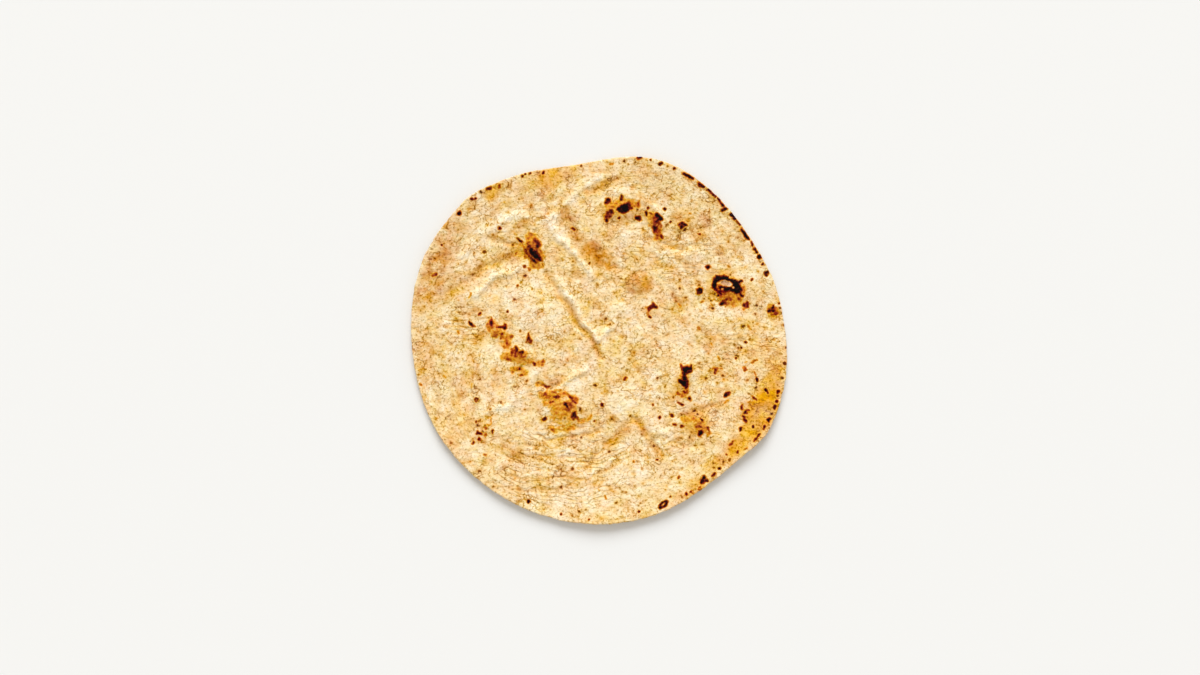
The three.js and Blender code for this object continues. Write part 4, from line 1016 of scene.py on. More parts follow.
# Heats that part the marks. Strokes cooler than SOFT_BELOW make the dough more golden, and
# from FILL_FROM they also brown a toasted patch. Strokes hotter than GLOW_FROM have browned
# skin round them. Specks cooler than MILD_BELOW never scorched, and strokes cooler than
# MILD_STROKE are milder where they lie in plain dough.
SOFT_BELOW = 0.53
FILL_FROM = 0.42
GLOW_FROM = 0.75
MILD_BELOW = 0.90
MILD_STROKE = 0.72

# How much of their own heat such marks show, and the heat round strokes and mild specks.
FILL_SHARE = 0.76
MILD_STROKE_SHARE = 0.75
MILD_SPECK_SHARE = 0.85
GLOW = 0.51
HALO = 0.24

# Share of a mark's heat that is left at its outline.
MARK_RISE = 0.80
SPECK_RISE = 0.75

# Edges over which marks fade: a width in mm, and a share of the half width to add to it.
MARK_EDGE = (0.9, 0.4)
SPECK_EDGE = (0.9, 0)
FILL_EDGE = (1.0, 0.9)
GLOW_EDGE = (0.7, 0.8)
GOLDEN_EDGE = (1.0, 1.1)
HALO_EDGE = (2.0, 0)
FRECKLE_EDGE = (0.8, 0)
GLINT_EDGE = (0.6, 0)

# How far from a stroke its colour can reach, mm.
REACH = 5.0

# Noises that make the marks uneven, and that shift the patches: strength and size.
HOT_UNEVEN = [(0.16, 2.2), (0.12, 1.35)]
GLOW_UNEVEN = [(0.9, 3.6), (0.4, 1.6)]
FILL_UNEVEN = [(0.5, 2.8), (0.35, 1.5)]
GOLDEN_UNEVEN = [(0.4, 3.2), (0.3, 1.6)]
TOASTED_UNEVEN = [(0.6, 3.3), (0.5, 1.7)]
TAN_UNEVEN = [(0.7, 3.4), (0.5, 1.7)]
PATCH_SHIFT = [(3.0, 9)]
TOASTED_SHIFT = [(1.3, 5)]
TAN_SHIFT = [(1.6, 5)]
TEAR_SHIFT = [(0.9, 2.4)]

# Seeded freckles: how many, how far out, their largest half width, and their depths.
FRECKLES = 500
FRECKLES_REACH = 112
FRECKLE_HALF = 0.35
FRECKLE_DEPTH = (0.15, 0.5)

# The plain dough's tone, and how much each thing deepens it or, below nought, pales it.
PLAIN_TONE = 0.435
TONE_UNEVEN = [(0.08, 14), (0.12, 5.5), (0.13, 2.7), (0.05, 1.5)]
BROAD_PATCHY_TONE = 0.04
SMALL_PATCHY_TONE = 0.03
AMBER_TONE = 0.12
TAN_TONE = 0.08
FLOURY_TONE = -0.26
# The creases' deeper tone is partly their own golden colour, partly painted shade.
CREASE_COLOUR_AND_SHADE = 0.12
# The pleats' paler tops are a painted highlight.
PLEAT_HIGHLIGHT = -0.20
STROKE_TONE = 0.38
# The wrinkles are deeper in their grooves and paler on the ridges beside them: partly their own colour,
# partly painted shade and highlight.
FOLD_COLOUR_AND_SHADING = 0.28
# The fine relief is deeper in tone in its hollows and paler on its crests: painted shade and light.
RELIEF_SHADING = -0.22

# How much of the golden tint each thing gives.
# The creases' gold is partly their own colour, partly painted warm shade.
GOLD_AND_SHADE_IN_CREASES = 0.4
STROKE_GOLD = 0.6
SPECK_GOLD = 1.1
SCATTERED_GOLD = 0.25


def soft_patches(x, y, ovals):
    """The strongest of several soft-edged patches at each point."""
    moved_x, moved_y = np.array([x, y]) + shift(x, y, PATCH_SHIFT, 41)
    return patches(moved_x, moved_y, ovals, 0.35, 1.25)


def patches(x, y, ovals, start, end):
    """The strongest of several patches, each fading out from its start to its end."""
    strength = np.zeros_like(x)
    for oval in ovals:
        away = oval_distance(x, y, oval)
        strength = np.maximum(strength, oval[5] * (1 - smoothstep(away, start, end)))
    return strength


def stroke_outside(x, y, points):
    """How far each point lies outside a stroke, mm, and less than nought inside it."""
    first_x, first_y, first_half = points[0]
    outside = np.hypot(x - first_x, y - first_y) - first_half
    for start, end in zip(points, points[1:]):
        away, share = from_piece(x, y, start, end)
        outside = np.minimum(outside, away - start[2] - share * (end[2] - start[2]))
    return outside


def near_stroke(x, y, points):
    """Which points are close enough to a stroke to take colour from it."""
    low_x = min(point[0] - point[2] for point in points) - REACH
    high_x = max(point[0] + point[2] for point in points) + REACH
    low_y = min(point[1] - point[2] for point in points) - REACH
    high_y = max(point[1] + point[2] for point in points) + REACH
    return np.flatnonzero((x > low_x) & (x < high_x) & (y > low_y) & (y < high_y))


def paint(x, y, heat, peak, edge, points, rise=1):
    """Raise the heat to a stroke's own, fading out over its edge."""
    near = near_stroke(x, y, points)
    outside = stroke_outside(x[near], y[near], points)
    width = edge[0] + edge[1] * max(point[2] for point in points)
    heat[near] = np.maximum(heat[near], peak * np.clip(rise - outside / width, 0, 1))


def scorch(x, y):
    """Heat of the toasted and scorched marks, from 0 to a little over 1."""
    near_x, near_y = ragged(x, y)
    hot, glow, filled = np.zeros_like(x), np.zeros_like(x), np.zeros_like(x)
    for peak, *points in STROKES:
        if peak >= SOFT_BELOW:
            shown = MILD_STROKE_SHARE * peak if is_mild(peak, points) else peak
            paint(near_x, near_y, hot, shown, MARK_EDGE, points, MARK_RISE)
        elif peak >= FILL_FROM and not is_mild(peak, points):
            paint(near_x, near_y, filled, FILL_SHARE * peak, FILL_EDGE, points)
        if peak > GLOW_FROM:
            paint(near_x, near_y, glow, GLOW, GLOW_EDGE, points)
    for *speck, peak in SPECKS:
        if peak >= MILD_BELOW:
            paint(near_x, near_y, hot, peak, SPECK_EDGE, [speck], SPECK_RISE)
    for oval in RINGS:
        size = min(oval[2], oval[3]) / 2
        outside = np.abs(oval_distance(near_x, near_y, oval) - 1) * size - oval[5] / 2
        ring = np.clip(MARK_RISE - outside / SPECK_EDGE[0], 0, 1)
        hot = np.maximum(hot, oval[6] * ring)
    hot *= 1 + layered(x, y, HOT_UNEVEN, 35)
    glow *= 0.85 + layered(x, y, GLOW_UNEVEN, 37)
    filled *= 1 + layered(x, y, FILL_UNEVEN, 39)
    heat = np.maximum(np.maximum(hot, glow), filled)
    # Lower the heat in the lighter spot and in the painted highlight.
    for spot_x, spot_y, half, most in PALE_SPOT_AND_GLINT:
        away = np.hypot(x - spot_x, y - spot_y)
        inside = 1 - smoothstep(away, half * 0.6, half * 1.4)
        heat = np.where(heat > most, heat + (most - heat) * inside, heat)
    return heat


def is_mild(peak, points):
    """Whether a stroke is a brown mark in plain dough, outside of the toasted patches."""
    x, y = np.array([points[0][0]]), np.array([points[0][1]])
    return peak < MILD_STROKE and patches(x, y, TOASTED, 0.6, 1.4)[0] == 0


def golden_strokes(x, y):
    """The soft strokes, dough a little more golden than what is round it."""
    near_x, near_y = ragged(x, y)
    strength = np.zeros_like(x)
    for peak, *points in STROKES:
        if peak < SOFT_BELOW:
            paint(near_x, near_y, strength, peak, GOLDEN_EDGE, points)
    return strength * (1 + layered(x, y, GOLDEN_UNEVEN, 37))


def random_place(rng, reach):
    """A seeded place, with the same chance all over a disc."""
    turn, out = rng.uniform(0, 2 * math.pi), reach * math.sqrt(rng.uniform())
    return out * math.cos(turn), out * math.sin(turn)


def mild_specks(x, y):
    """Brown specks that never scorched: those in the list, and seeded freckles."""
    near_x, near_y = ragged(x, y)
    strength = np.zeros_like(x)
    for *speck, peak in SPECKS:
        if peak < MILD_BELOW:
            paint(near_x, near_y, strength, MILD_SPECK_SHARE * peak, SPECK_EDGE, [speck])
            paint(near_x, near_y, strength, HALO, HALO_EDGE, [speck])
    rng = np.random.default_rng(57)
    for _ in range(FRECKLES):
        place = random_place(rng, FRECKLES_REACH)
        half = rng.uniform(0.0, FRECKLE_HALF)
        depth = rng.uniform(*FRECKLE_DEPTH)
        paint(near_x, near_y, strength, depth, FRECKLE_EDGE, [(*place, half)])
    return strength


def along_lines(x, y, lines, size, seed):
    """How near each point is to the creases or pleats, unevenly along them."""
    along_x, along_y = wandering(x, y)
    total = np.zeros_like(x)
    for height, width, path in lines:
        total += height * bell(path_distance(along_x, along_y, path), width * 0.6)
    return total * (1 + noise(x, y, size, seed))


def tear_share(x, y):
    """One where bare skin shows in the burst blister's tear and in the painted highlights below it, nought
    elsewhere.
    """
    near_x, near_y = ragged(x, y) + shift(x, y, TEAR_SHIFT, 66)
    share = 1 - smoothstep(oval_distance(near_x, near_y, TEAR), 0.4, 0.75)
    # The painted highlights, drawn as bare skin so that no browning shows there.
    for spot in GLINT_SPOTS:
        paint(x, y, share, 1.0, GLINT_EDGE, [spot])
    return share


def browning_of_top(x, y):
    """Heat of the top's toasted patches and scorched marks."""
    near_x, near_y = ragged(x, y) + shift(x, y, TOASTED_SHIFT, 43)
    toasted = patches(near_x, near_y, TOASTED, 0.6, 1.15)
    toasted = toasted * (1 + layered(x, y, TOASTED_UNEVEN, 55))
    return np.maximum(toasted, scorch(x, y)) * (1 - tear_share(x, y))


def patchy(x, y, size, seed):
    """Patches with crisp, wandering edges, -1 or 1."""
    moved = 0.25 * size * noise(x, y, size / 3, seed + 1)
    return 2 * smoothstep(noise(x + moved, y - moved, size, seed), -0.12, 0.12) - 1


def tone_of_top(x, y, relief, folds):
    """Colour of the plain dough, from 0, floury, to 1, deep golden."""
    tone = PLAIN_TONE + layered(x, y, TONE_UNEVEN, 51)
    tone += BROAD_PATCHY_TONE * patchy(x, y, 9, 58)
    tone += SMALL_PATCHY_TONE * patchy(x, y, 4.5, 60)
    tone += AMBER_TONE * soft_patches(x, y, AMBER)
    tone += TAN_TONE * tan_share(x, y)
    tone += FLOURY_TONE * soft_patches(x, y, FLOURY)
    # Painted shade in the creases, with their own golden colour, and a painted highlight on the pleats'
    # tops.
    tone += CREASE_COLOUR_AND_SHADE * along_lines(x, y, CREASES, 4, 63)
    tone += PLEAT_HIGHLIGHT * along_lines(x, y, PLEATS, 4, 64)
    tone += STROKE_TONE * golden_strokes(x, y)
    # Painted shade in the wrinkles' grooves and the relief's hollows, painted light on their ridges and
    # crests, with the wrinkles' own colour.
    return tone + FOLD_COLOUR_AND_SHADING * folds + RELIEF_SHADING * relief


def tan_share(x, y):
    """How much of each point's plain dough is tinted tan, in patches with mottled edges."""
    near_x, near_y = ragged(x, y) + shift(x, y, TAN_SHIFT, 68)
    share = patches(near_x, near_y, TAN, 0.5, 1.25)
    return np.clip(share * (1 + layered(x, y, TAN_UNEVEN, 45)), 0, 1)


def golden_share(x, y, specks):
    """How much of each point's plain dough is tinted golden."""
    shares = (
        soft_patches(x, y, AMBER),
        STROKE_GOLD * golden_strokes(x, y),
        SPECK_GOLD * specks,
        # Along the creases: partly their own gold, partly painted warm shade.
        GOLD_AND_SHADE_IN_CREASES * along_lines(x, y, CREASES, 5, 64),
    )
    scattered = SCATTERED_GOLD * smoothstep(noise(x, y, 7, 65), 0.15, 0.7)
    share = np.maximum.reduce(shares) + scattered
    return np.clip(share * (1 - 0.8 * tan_share(x, y)), 0, 1)


# ------------------------------------------------------------------ the bread's mesh

TOP_RINGS = 168
UNDERSIDE_RINGS = 50

# Each ring has this many points more than the one inside it.
POINTS_PER_RING = 6

# Rings of the rounded rim: degrees up or down from its outermost line.
RIM_STEPS = (45, 0, -45)

# The underside's pits and grain, mm, and the unevenness of its tone.
PIT_DEPTH = 0.35
PIT_SIZE = 7
GRAIN_DEPTH = 0.15
GRAIN_WIDTH = 3
UNDER_TONE = 0.46
UNDER_UNEVEN = [(0.10, 15), (0.12, 5), (0.14, 2.4)]

# The underside's toasted spots: how many, how far out, the smallest width and how much
# wider the widest is, mm, their heat, and their length as a share of their width.
UNDER_SPOTS = 90
UNDER_SPOTS_REACH = 105
SMALLEST_SPOT = 1.5
SPOT_GROWTH = 9
SPOT_HEAT = (0.45, 0.95)
SPOT_LENGTH = (0.6, 1.2)

# The map of colours: radii of its two discs, the radius in mm that fills one, and how much
# farther out the rim's side lies than the top.
TOP_DISC = 0.36
UNDER_DISC = 0.22
DISC_REACH = 118.0
RIM_SPREAD = 0.012


def join_rings(inner, outer, facing_up):
    """Triangles between two rings of points, stepping round whichever is behind."""
    faces = []
    i = o = 0
    while i < len(inner) or o < len(outer):
        first, second = inner[i % len(inner)], outer[o % len(outer)]
        step_outer = (o + 1) * len(inner) <= (i + 1) * len(outer)
        if step_outer:
            o += 1
            third = outer[o % len(outer)]
        else:
            i += 1
            third = inner[i % len(inner)]
        faces.append((first, second, third) if facing_up else (second, first, third))
    return faces


class Lattice:
    """Points laid out in rings, with the faces between them."""

    def __init__(self):
        self.share, self.angle, self.inset, self.side = [], [], [], []
        self.faces, self.face_side = [], []

    def ring(self, count, share, inset, side):
        first = len(self.share)
        self.share += [share] * count
        self.angle += [360 * i / count for i in range(count)]
        self.inset += [inset] * count
        self.side += [side] * count
        return list(range(first, first + count))

    def disc(self, rings, rim_points, side, inset):
        """One face of the bread. Returns its outermost ring."""
        up = side > 0
        last = self.ring(1, 0.0, inset, side)
        for k in range(1, rings + 1):
            count = rim_points if k == rings else k * POINTS_PER_RING
            ring = self.ring(count, k / rings, inset, side)
            self.add(join_rings(last, ring, up), side)
            last = ring
        return last

    def add(self, faces, side):
        self.faces += faces
        self.face_side += [side] * len(faces)


def bread_lattice(rim_round):
    lattice = Lattice()
    rim_points = TOP_RINGS * POINTS_PER_RING
    last = lattice.disc(TOP_RINGS, rim_points, 1, rim_round)
    for step in RIM_STEPS:
        side = math.sin(math.radians(step))
        inset = rim_round * (1 - math.cos(math.radians(step)))
        ring = lattice.ring(rim_points, 1.0, inset, side)
        lattice.add(join_rings(last, ring, True), 1)
        last = ring
    under = lattice.disc(UNDERSIDE_RINGS, rim_points, -1, rim_round)
    lattice.add(join_rings(last, under, True), 1)
    return lattice


def bread_points(lattice):
    """Places of the lattice's points in mm, and the relief of those on the top."""
    shape = bpy.context.scene.chapati_shape
    angle, side = np.array(lattice.angle), np.array(lattice.side)
    out_x, out_y = np.cos(np.radians(angle)), np.sin(np.radians(angle))
    reach = edge_radius(angle)
    nicks = layered(reach * out_x, reach * out_y, NICKS, 61)
    radius = (reach + nicks - np.array(lattice.inset)) * np.array(lattice.share)
    x, y = radius * out_x, radius * out_y
    edge_share = smoothstep(radius / reach, shape.pressed_start, 1) ** 2
    dough, rim = shape.dough_thickness / MM, shape.rim_thickness / MM
    thickness = dough + (rim - dough) * edge_share
    relief = main_relief(x, y) * (1 - edge_share)
    wave, depth = puckers(x, y)
    fine, folds = fine_relief(x, y, wave, depth)
    fine = fine * (1 - 0.5 * edge_share) * shape.fine_share
    top = thickness + np.maximum(relief + fine, -thickness / 2)
    pits = PIT_DEPTH * smoothstep(noise(x, y, PIT_SIZE, 71), 0.1, 0.8)
    pits += GRAIN_DEPTH * np.abs(noise(x, y, GRAIN_WIDTH, 72))
    under = pits * smoothstep(np.array(lattice.share), 0.0, 0.05)
    share_up = (side + 1) / 2
    z = lift(angle, radius) + top * share_up + under * (1 - share_up)
    return np.array([x, y, z]), fine, folds, wave, depth


def tone_of_underside(x, y):
    return UNDER_TONE + layered(x, y, UNDER_UNEVEN, 82)


def browning_of_underside(x, y):
    """The second side's spots: round toasted freckles of many sizes, seeded."""
    rng = np.random.default_rng(81)
    heat = np.zeros_like(x)
    near_x, near_y = ragged(x, y)
    for _ in range(UNDER_SPOTS):
        place = random_place(rng, UNDER_SPOTS_REACH)
        width = SMALLEST_SPOT + SPOT_GROWTH * rng.uniform() ** 3
        peak = rng.uniform(*SPOT_HEAT)
        spot = (*place, width, width * rng.uniform(*SPOT_LENGTH), 0)
        outside = (oval_distance(near_x, near_y, spot) - 1) * width / 2
        heat = np.maximum(heat, peak * (1 - smoothstep(outside, -width / 3, 1.5)))
    return heat * (0.75 + 0.35 * noise(x, y, 2.2, 85))


def set_values(mesh, name, values):
    attribute = mesh.attributes.new(name, "FLOAT", "POINT")
    attribute.data.foreach_set("value", values.astype(np.float32))


def unwrap(mesh, lattice, x, y):
    """A map of two discs: the top with its rim, and the underside, smaller."""
    corner_vertex = np.zeros(len(mesh.loops), np.int32)
    mesh.loops.foreach_get("vertex_index", corner_vertex)
    on_top = np.repeat(np.array(lattice.face_side) > 0, 3)
    side = np.array(lattice.side)[corner_vertex]
    spread = np.where(on_top, 1.0 + RIM_SPREAD * (1 - side), 1.0)
    size = np.where(on_top, TOP_DISC, UNDER_DISC) / DISC_REACH
    middle_u = np.where(on_top, TOP_DISC, 1 - UNDER_DISC)
    middle_v = np.where(on_top, 1 - TOP_DISC, UNDER_DISC)
    u = middle_u + x[corner_vertex] * spread * size
    v = middle_v + y[corner_vertex] * spread * size
    layer = mesh.uv_layers.new(name="OFBake")
    layer.data.foreach_set("uv", np.column_stack([u, v]).astype(np.float32).ravel())


def make_bread():
    """The bread, in the middle of the CAD solid, with its colours' values on its points."""
    shape = bpy.context.scene.chapati_shape
    lattice = bread_lattice(shape.rim_round / MM)
    (x, y, z), fine, folds, wave, depth = bread_points(lattice)
    middle_x, middle_y = (x.max() + x.min()) / 2, (y.max() + y.min()) / 2
    places = np.column_stack([x - middle_x, y - middle_y, z - z.min()]) * MM
    places += np.array([CAD_MIDDLE.x, CAD_MIDDLE.y, CAD_LOW.z])
    mesh = bpy.data.meshes.new("chapati_bread")
    mesh.from_pydata(places, [], lattice.faces)
    mesh.update()
    mesh.shade_smooth()
    specks = mild_specks(x, y)
    on_top = np.array(lattice.side) > -0.5
    values = {
        "browning": np.where(on_top, browning_of_top(x, y), browning_of_underside(x, y)),
        "tone": np.where(on_top, tone_of_top(x, y, fine, folds), tone_of_underside(x, y)),
        "fleck": np.where(on_top, specks, 0),
        "amber": np.where(on_top, golden_share(x, y, specks), 0),
        "tan": np.where(on_top, tan_share(x, y), 0),
        # The tear's bare skin, and the painted highlights drawn in its colours.
        "inner": np.where(on_top, tear_share(x, y), 0),
        "wave": wave,
        "wave_depth": np.where(on_top, depth, 0),
    }
    for name, value in values.items():
        set_values(mesh, name, value)
    unwrap(mesh, lattice, x, y)
    bread = bpy.data.objects.new("chapati_bread", mesh)
    bpy.context.scene.collection.objects.link(bread)
    mesh.materials.append(dough_material())
    return bread


# ------------------------------------------------------------------ materials


class Nodes:
    """Short calls for building a material's nodes."""

    def __init__(self, material):
        material.use_nodes = True
        self.tree = material.node_tree
        self.tree.nodes.clear()

    def add(self, kind, **values):
        node = self.tree.nodes.new(kind)
        for name, value in values.items():
            setattr(node, name, value)
        return node

    def link(self, source, target):
        self.tree.links.new(source, target)

    def feed(self, value, socket):
        if isinstance(value, bpy.types.NodeSocket):
            self.link(value, socket)
        else:
            socket.default_value = value

    def math(self, operation, first, second=0.0, third=0.0):
        node = self.add("ShaderNodeMath", operation=operation)
        for value, socket in zip((first, second, third), node.inputs):
            self.feed(value, socket)
        return node.outputs[0]

    def plus(self, total, value, strength):
        """A total with a value added to it, times the value's strength."""
        return self.math("MULTIPLY_ADD", value, strength, total)

    def over(self, value, start, slope):
        """How far a value is over its start, times the slope, but from 0 to 1."""
        raised = self.math("MULTIPLY", self.math("SUBTRACT", value, start), slope)
        raised.node.use_clamp = True
        return raised

    def line(self, value, width):
        """One where a value is nought, falling off smoothly over its width."""
        away = self.math("DIVIDE", value, width)
        fall = self.math("MULTIPLY", self.math("MULTIPLY", away, away), -1.0)
        return self.math("EXPONENT", fall)

    def mix(self, share, first, second, blend="MIX"):
        node = self.add("ShaderNodeMix", data_type="RGBA", blend_type=blend)
        self.feed(share, node.inputs["Factor"])
        self.feed(first, node.inputs[6])
        self.feed(second, node.inputs[7])
        return node.outputs[2]

    def attribute(self, name):
        return self.add("ShaderNodeAttribute", attribute_name=name).outputs["Fac"]

    def noise(self, place, size, detail=2.0, roughness=0.5):
        node = self.add("ShaderNodeTexNoise")
        node.inputs["Scale"].default_value = 1 / size
        node.inputs["Detail"].default_value = detail
        node.inputs["Roughness"].default_value = roughness
        self.link(place, node.inputs["Vector"])
        return node.outputs["Fac"]

    def swing(self, place, size, detail=2.0, roughness=0.5):
        """A noise that swings to both sides of nought."""
        return self.math("SUBTRACT", self.noise(place, size, detail, roughness), 0.5)

    def ramp(self, value, places, colours):
        """A colour picked by a value, from colours at their places along a ramp."""
        node = self.add("ShaderNodeValToRGB")
        stops = [(at, linear(shade)) for at, shade in zip(places, colours)]
        elements = node.color_ramp.elements
        elements[0].position, elements[0].color = stops[0]
        elements[1].position, elements[1].color = stops[-1]
        for at, shade in stops[1:-1]:
            elements.new(at).color = shade
        self.link(value, node.inputs["Fac"])
        return node.outputs["Color"]

    def finish(self, shader):
        output = self.add("ShaderNodeOutputMaterial")
        self.link(shader.outputs["BSDF"], output.inputs["Surface"])


def linear(colour):
    """A colour as picked on a screen, turned into light."""
    values = [c / 12.92 if c <= 0.04045 else ((c + 0.055) / 1.055) ** 2.4 for c in colour]
    return (*values, 1.0)


# Sizes in the material, metres.
GRAIN_SIZE = 0.0019
SHAKE_SIZE = 0.0012
SHAKE_REACH = 0.0009
CRINKLE_SIZE = 0.0060
SPOT_SIZE = 0.0014
BUMP_SIZE = 0.0014
BUMP_HEIGHT = 0.0007
HUE_SIZE = 0.0070
SHADE_SIZE = 0.0014
DEPTH_SIZE = 0.0080

# How wide the thin lines are, as a share of the waves that they run along.
CRINKLE_WIDTH = 0.020
FOLD_LINE_WIDTH = 0.15

# How much each thing deepens the dough's tone, and how deep the lines are in the bump.
GRAIN_SHARE = 0.25
# The pucker lines' deeper tone along their grooves is partly their own colour, partly painted shade.
FOLD_LINE_COLOUR_AND_SHADE = 0.28
CRINKLE_SHARE = 0.40
SPOT_SHARE = 0.14
LINE_BUMP = 0.4

# How strongly the grain mottles the browned dough, and the heat from which it shows.
MOTTLED = 1.8
BROWN_FROM = 0.10
BROWN_SLOPE = 6.5

# Bran flecks: size of a cell, metres, share of the cells without a fleck, and strength.
BRAN = [(0.0025, 0.68, 0.60), (0.0015, 0.60, 0.35)]

# Tones, as shares of the last, that the dough's colours are at. The last is past the
# darkest dough, which is at a tone of 1, and is dark bran.
LAST_TONE = 1.4
PLAIN_PLACES = (0.0, 0.20, 0.36, 0.52, 0.62, 0.72, 0.86, 1.0)
TINT_PLACES = (0.14, 0.37, 0.68, 0.86, 1.0)

# Heats that the burnt dough's colours are at.
BURNT_PLACES = (0.20, 0.31, 0.42, 0.54, 0.66, 0.79, 0.92, 1.00)


def dough_material():
    colours = bpy.context.scene.chapati_colours
    material = bpy.data.materials.new("baked_dough")
    nodes = Nodes(material)
    place = nodes.add("ShaderNodeTexCoord").outputs["Object"]
    shaken_place = shaken(nodes, place)
    grain = nodes.swing(place, GRAIN_SIZE, 3.0, 0.65)
    fold_line = nodes.line(nodes.attribute("wave"), FOLD_LINE_WIDTH)
    fold_line = nodes.math("MULTIPLY", fold_line, nodes.attribute("wave_depth"))
    crinkle = crinkles(nodes, shaken_place)
    spots = nodes.over(nodes.noise(place, SPOT_SIZE, 1.0), 0.58, 9.0)
    tone = nodes.plus(nodes.attribute("tone"), grain, GRAIN_SHARE)
    # Deeper along the puckers' grooves: partly their own colour, partly painted shade.
    tone = nodes.plus(tone, fold_line, FOLD_LINE_COLOUR_AND_SHADE)
    tone = nodes.plus(tone, crinkle, CRINKLE_SHARE)
    tone = nodes.plus(tone, spots, SPOT_SHARE)
    for cell, bare_share, strength in BRAN:
        tone = nodes.math("ADD", tone, bran_flecks(nodes, shaken_place, cell, bare_share, strength))
    tone = nodes.math("ADD", tone, crisp(nodes, nodes.attribute("fleck")))
    dough = uneven_hue(nodes, place, plain_dough(nodes, tone, colours), 0.5)
    heat = nodes.attribute("browning")
    heat = nodes.plus(heat, nodes.math("MULTIPLY", grain, MOTTLED), heat)
    burnt = uneven_hue(nodes, place, burnt_dough(nodes, heat, colours), 0.1)
    baked = nodes.mix(nodes.over(heat, BROWN_FROM, BROWN_SLOPE), dough, burnt)
    shader = nodes.add("ShaderNodeBsdfPrincipled")
    nodes.link(baked, shader.inputs["Base Color"])
    shader.inputs["Roughness"].default_value = 0.75
    shader.inputs["Specular IOR Level"].default_value = 0.08
    height = nodes.noise(place, BUMP_SIZE, 4.0, 0.6)
    height = nodes.plus(height, fold_line, -LINE_BUMP)
    height = nodes.plus(height, crinkle, -LINE_BUMP)
    bump = nodes.add("ShaderNodeBump")
    bump.inputs["Strength"].default_value = 1.0
    bump.inputs["Distance"].default_value = BUMP_HEIGHT
    nodes.link(height, bump.inputs["Height"])
    nodes.link(bump.outputs["Normal"], shader.inputs["Normal"])
    nodes.finish(shader)
    return material


def crisp(nodes, strength):
    """A soft speck's strength, raised steeply where it passes a third."""
    raised = nodes.over(strength, 0.30, 3.0)
    return nodes.plus(nodes.math("MULTIPLY", strength, 0.5), raised, 0.55)


def shaken(nodes, place):
    """Places shifted a little this way and that, so that spots aren't round."""
    noise = nodes.add("ShaderNodeTexNoise")
    noise.inputs["Scale"].default_value = 1 / SHAKE_SIZE
    nodes.link(place, noise.inputs["Vector"])
    moved = nodes.add("ShaderNodeVectorMath", operation="MULTIPLY_ADD")
    nodes.link(noise.outputs["Color"], moved.inputs[0])
    moved.inputs[1].default_value = (SHAKE_REACH, SHAKE_REACH, SHAKE_REACH)
    nodes.link(place, moved.inputs[2])
    return moved.outputs["Vector"]


def uneven_hue(nodes, place, dough, depth_swing):
    """Slightly pinker and greener, paler and richer dough from spot to spot."""
    node = nodes.add("ShaderNodeHueSaturation")
    hue = nodes.math("MULTIPLY_ADD", nodes.swing(place, HUE_SIZE, 1.0), 0.04, 0.5)
    shade = nodes.math("MAXIMUM", nodes.swing(place, SHADE_SIZE, 2.0, 0.8), 0.0)
    depth = nodes.swing(place, DEPTH_SIZE, 1.5)
    depth = nodes.math("MULTIPLY_ADD", depth, depth_swing, 0.98)
    nodes.link(hue, node.inputs["Hue"])
    nodes.link(nodes.plus(depth, shade, 0.9), node.inputs["Saturation"])
    nodes.link(nodes.math("MULTIPLY_ADD", shade, -2.2, 1.04), node.inputs["Value"])
    nodes.link(dough, node.inputs["Color"])
    return node.outputs["Color"]


def crinkles(nodes, place):
    """Thin wandering lines all over the skin, where a noise is near its middle."""
    lines = nodes.line(nodes.swing(place, CRINKLE_SIZE), CRINKLE_WIDTH)
    fading = nodes.over(nodes.noise(place, 2 * CRINKLE_SIZE), 0.38, 4.0)
    return nodes.math("MULTIPLY", lines, fading)


def plain_dough(nodes, tone, colours):
    """Colour of the unburnt dough from its tone, with its amber, tan and bare patches; the bare skin's
    colours also paint two highlights.
    """
    ramp_place = nodes.math("DIVIDE", tone, LAST_TONE)
    bran = ("bran", "dark_bran")
    plain = ("floury", "pale", "baked", "golden", "deep_golden", "olive")
    dough = nodes.ramp(ramp_place, PLAIN_PLACES, picked(colours, plain + bran))
    for name, most in (("amber", 0.9), ("tan", 0.9), ("inner", 1.0)):
        shades = (name + "_light", name, name + "_deep")
        tint = nodes.ramp(ramp_place, TINT_PLACES, picked(colours, shades + bran))
        dough = nodes.mix(nodes.math("MULTIPLY", nodes.attribute(name), most), dough, tint)
    return dough


def picked(colours, names):
    return [getattr(colours, name) for name in names]


def burnt_dough(nodes, heat, colours):
    """Colour of the browned dough from its heat, from gold to black."""
    brown = ("gold", "orange", "toasted", "browned")
    black = ("red_brown", "dark_red", "scorched", "charred")
    return nodes.ramp(heat, BURNT_PLACES, picked(colours, brown + black))


def bran_flecks(nodes, place, cell, bare_share, strength):
    """Flecks of bran in the wholemeal dough, one in each cell but the bare ones."""
    cells = nodes.add("ShaderNodeTexVoronoi", voronoi_dimensions="2D")
    cells.inputs["Scale"].default_value = 1 / cell
    nodes.link(place, cells.inputs["Vector"])
    pick = nodes.add("ShaderNodeSeparateColor")
    nodes.link(cells.outputs["Color"], pick.inputs["Color"])
    size = nodes.math("MULTIPLY", nodes.math("SUBTRACT", pick.outputs["Red"], bare_share), 0.55)
    inside = nodes.over(size, cells.outputs["Distance"], 5.0)
    depth = nodes.math("MULTIPLY_ADD", pick.outputs["Green"], 0.4, strength - 0.2)
    return nodes.math("MULTIPLY", inside, depth)


# ------------------------------------------------------------------ the stage

TABLE_HALF = 6.0
LENS = 50
SENSOR_WIDTH = 36
WINDOW_COLOUR = (0.98, 1.0, 1.0)
SKY_COLOUR = (1, 0.955, 0.87, 1)


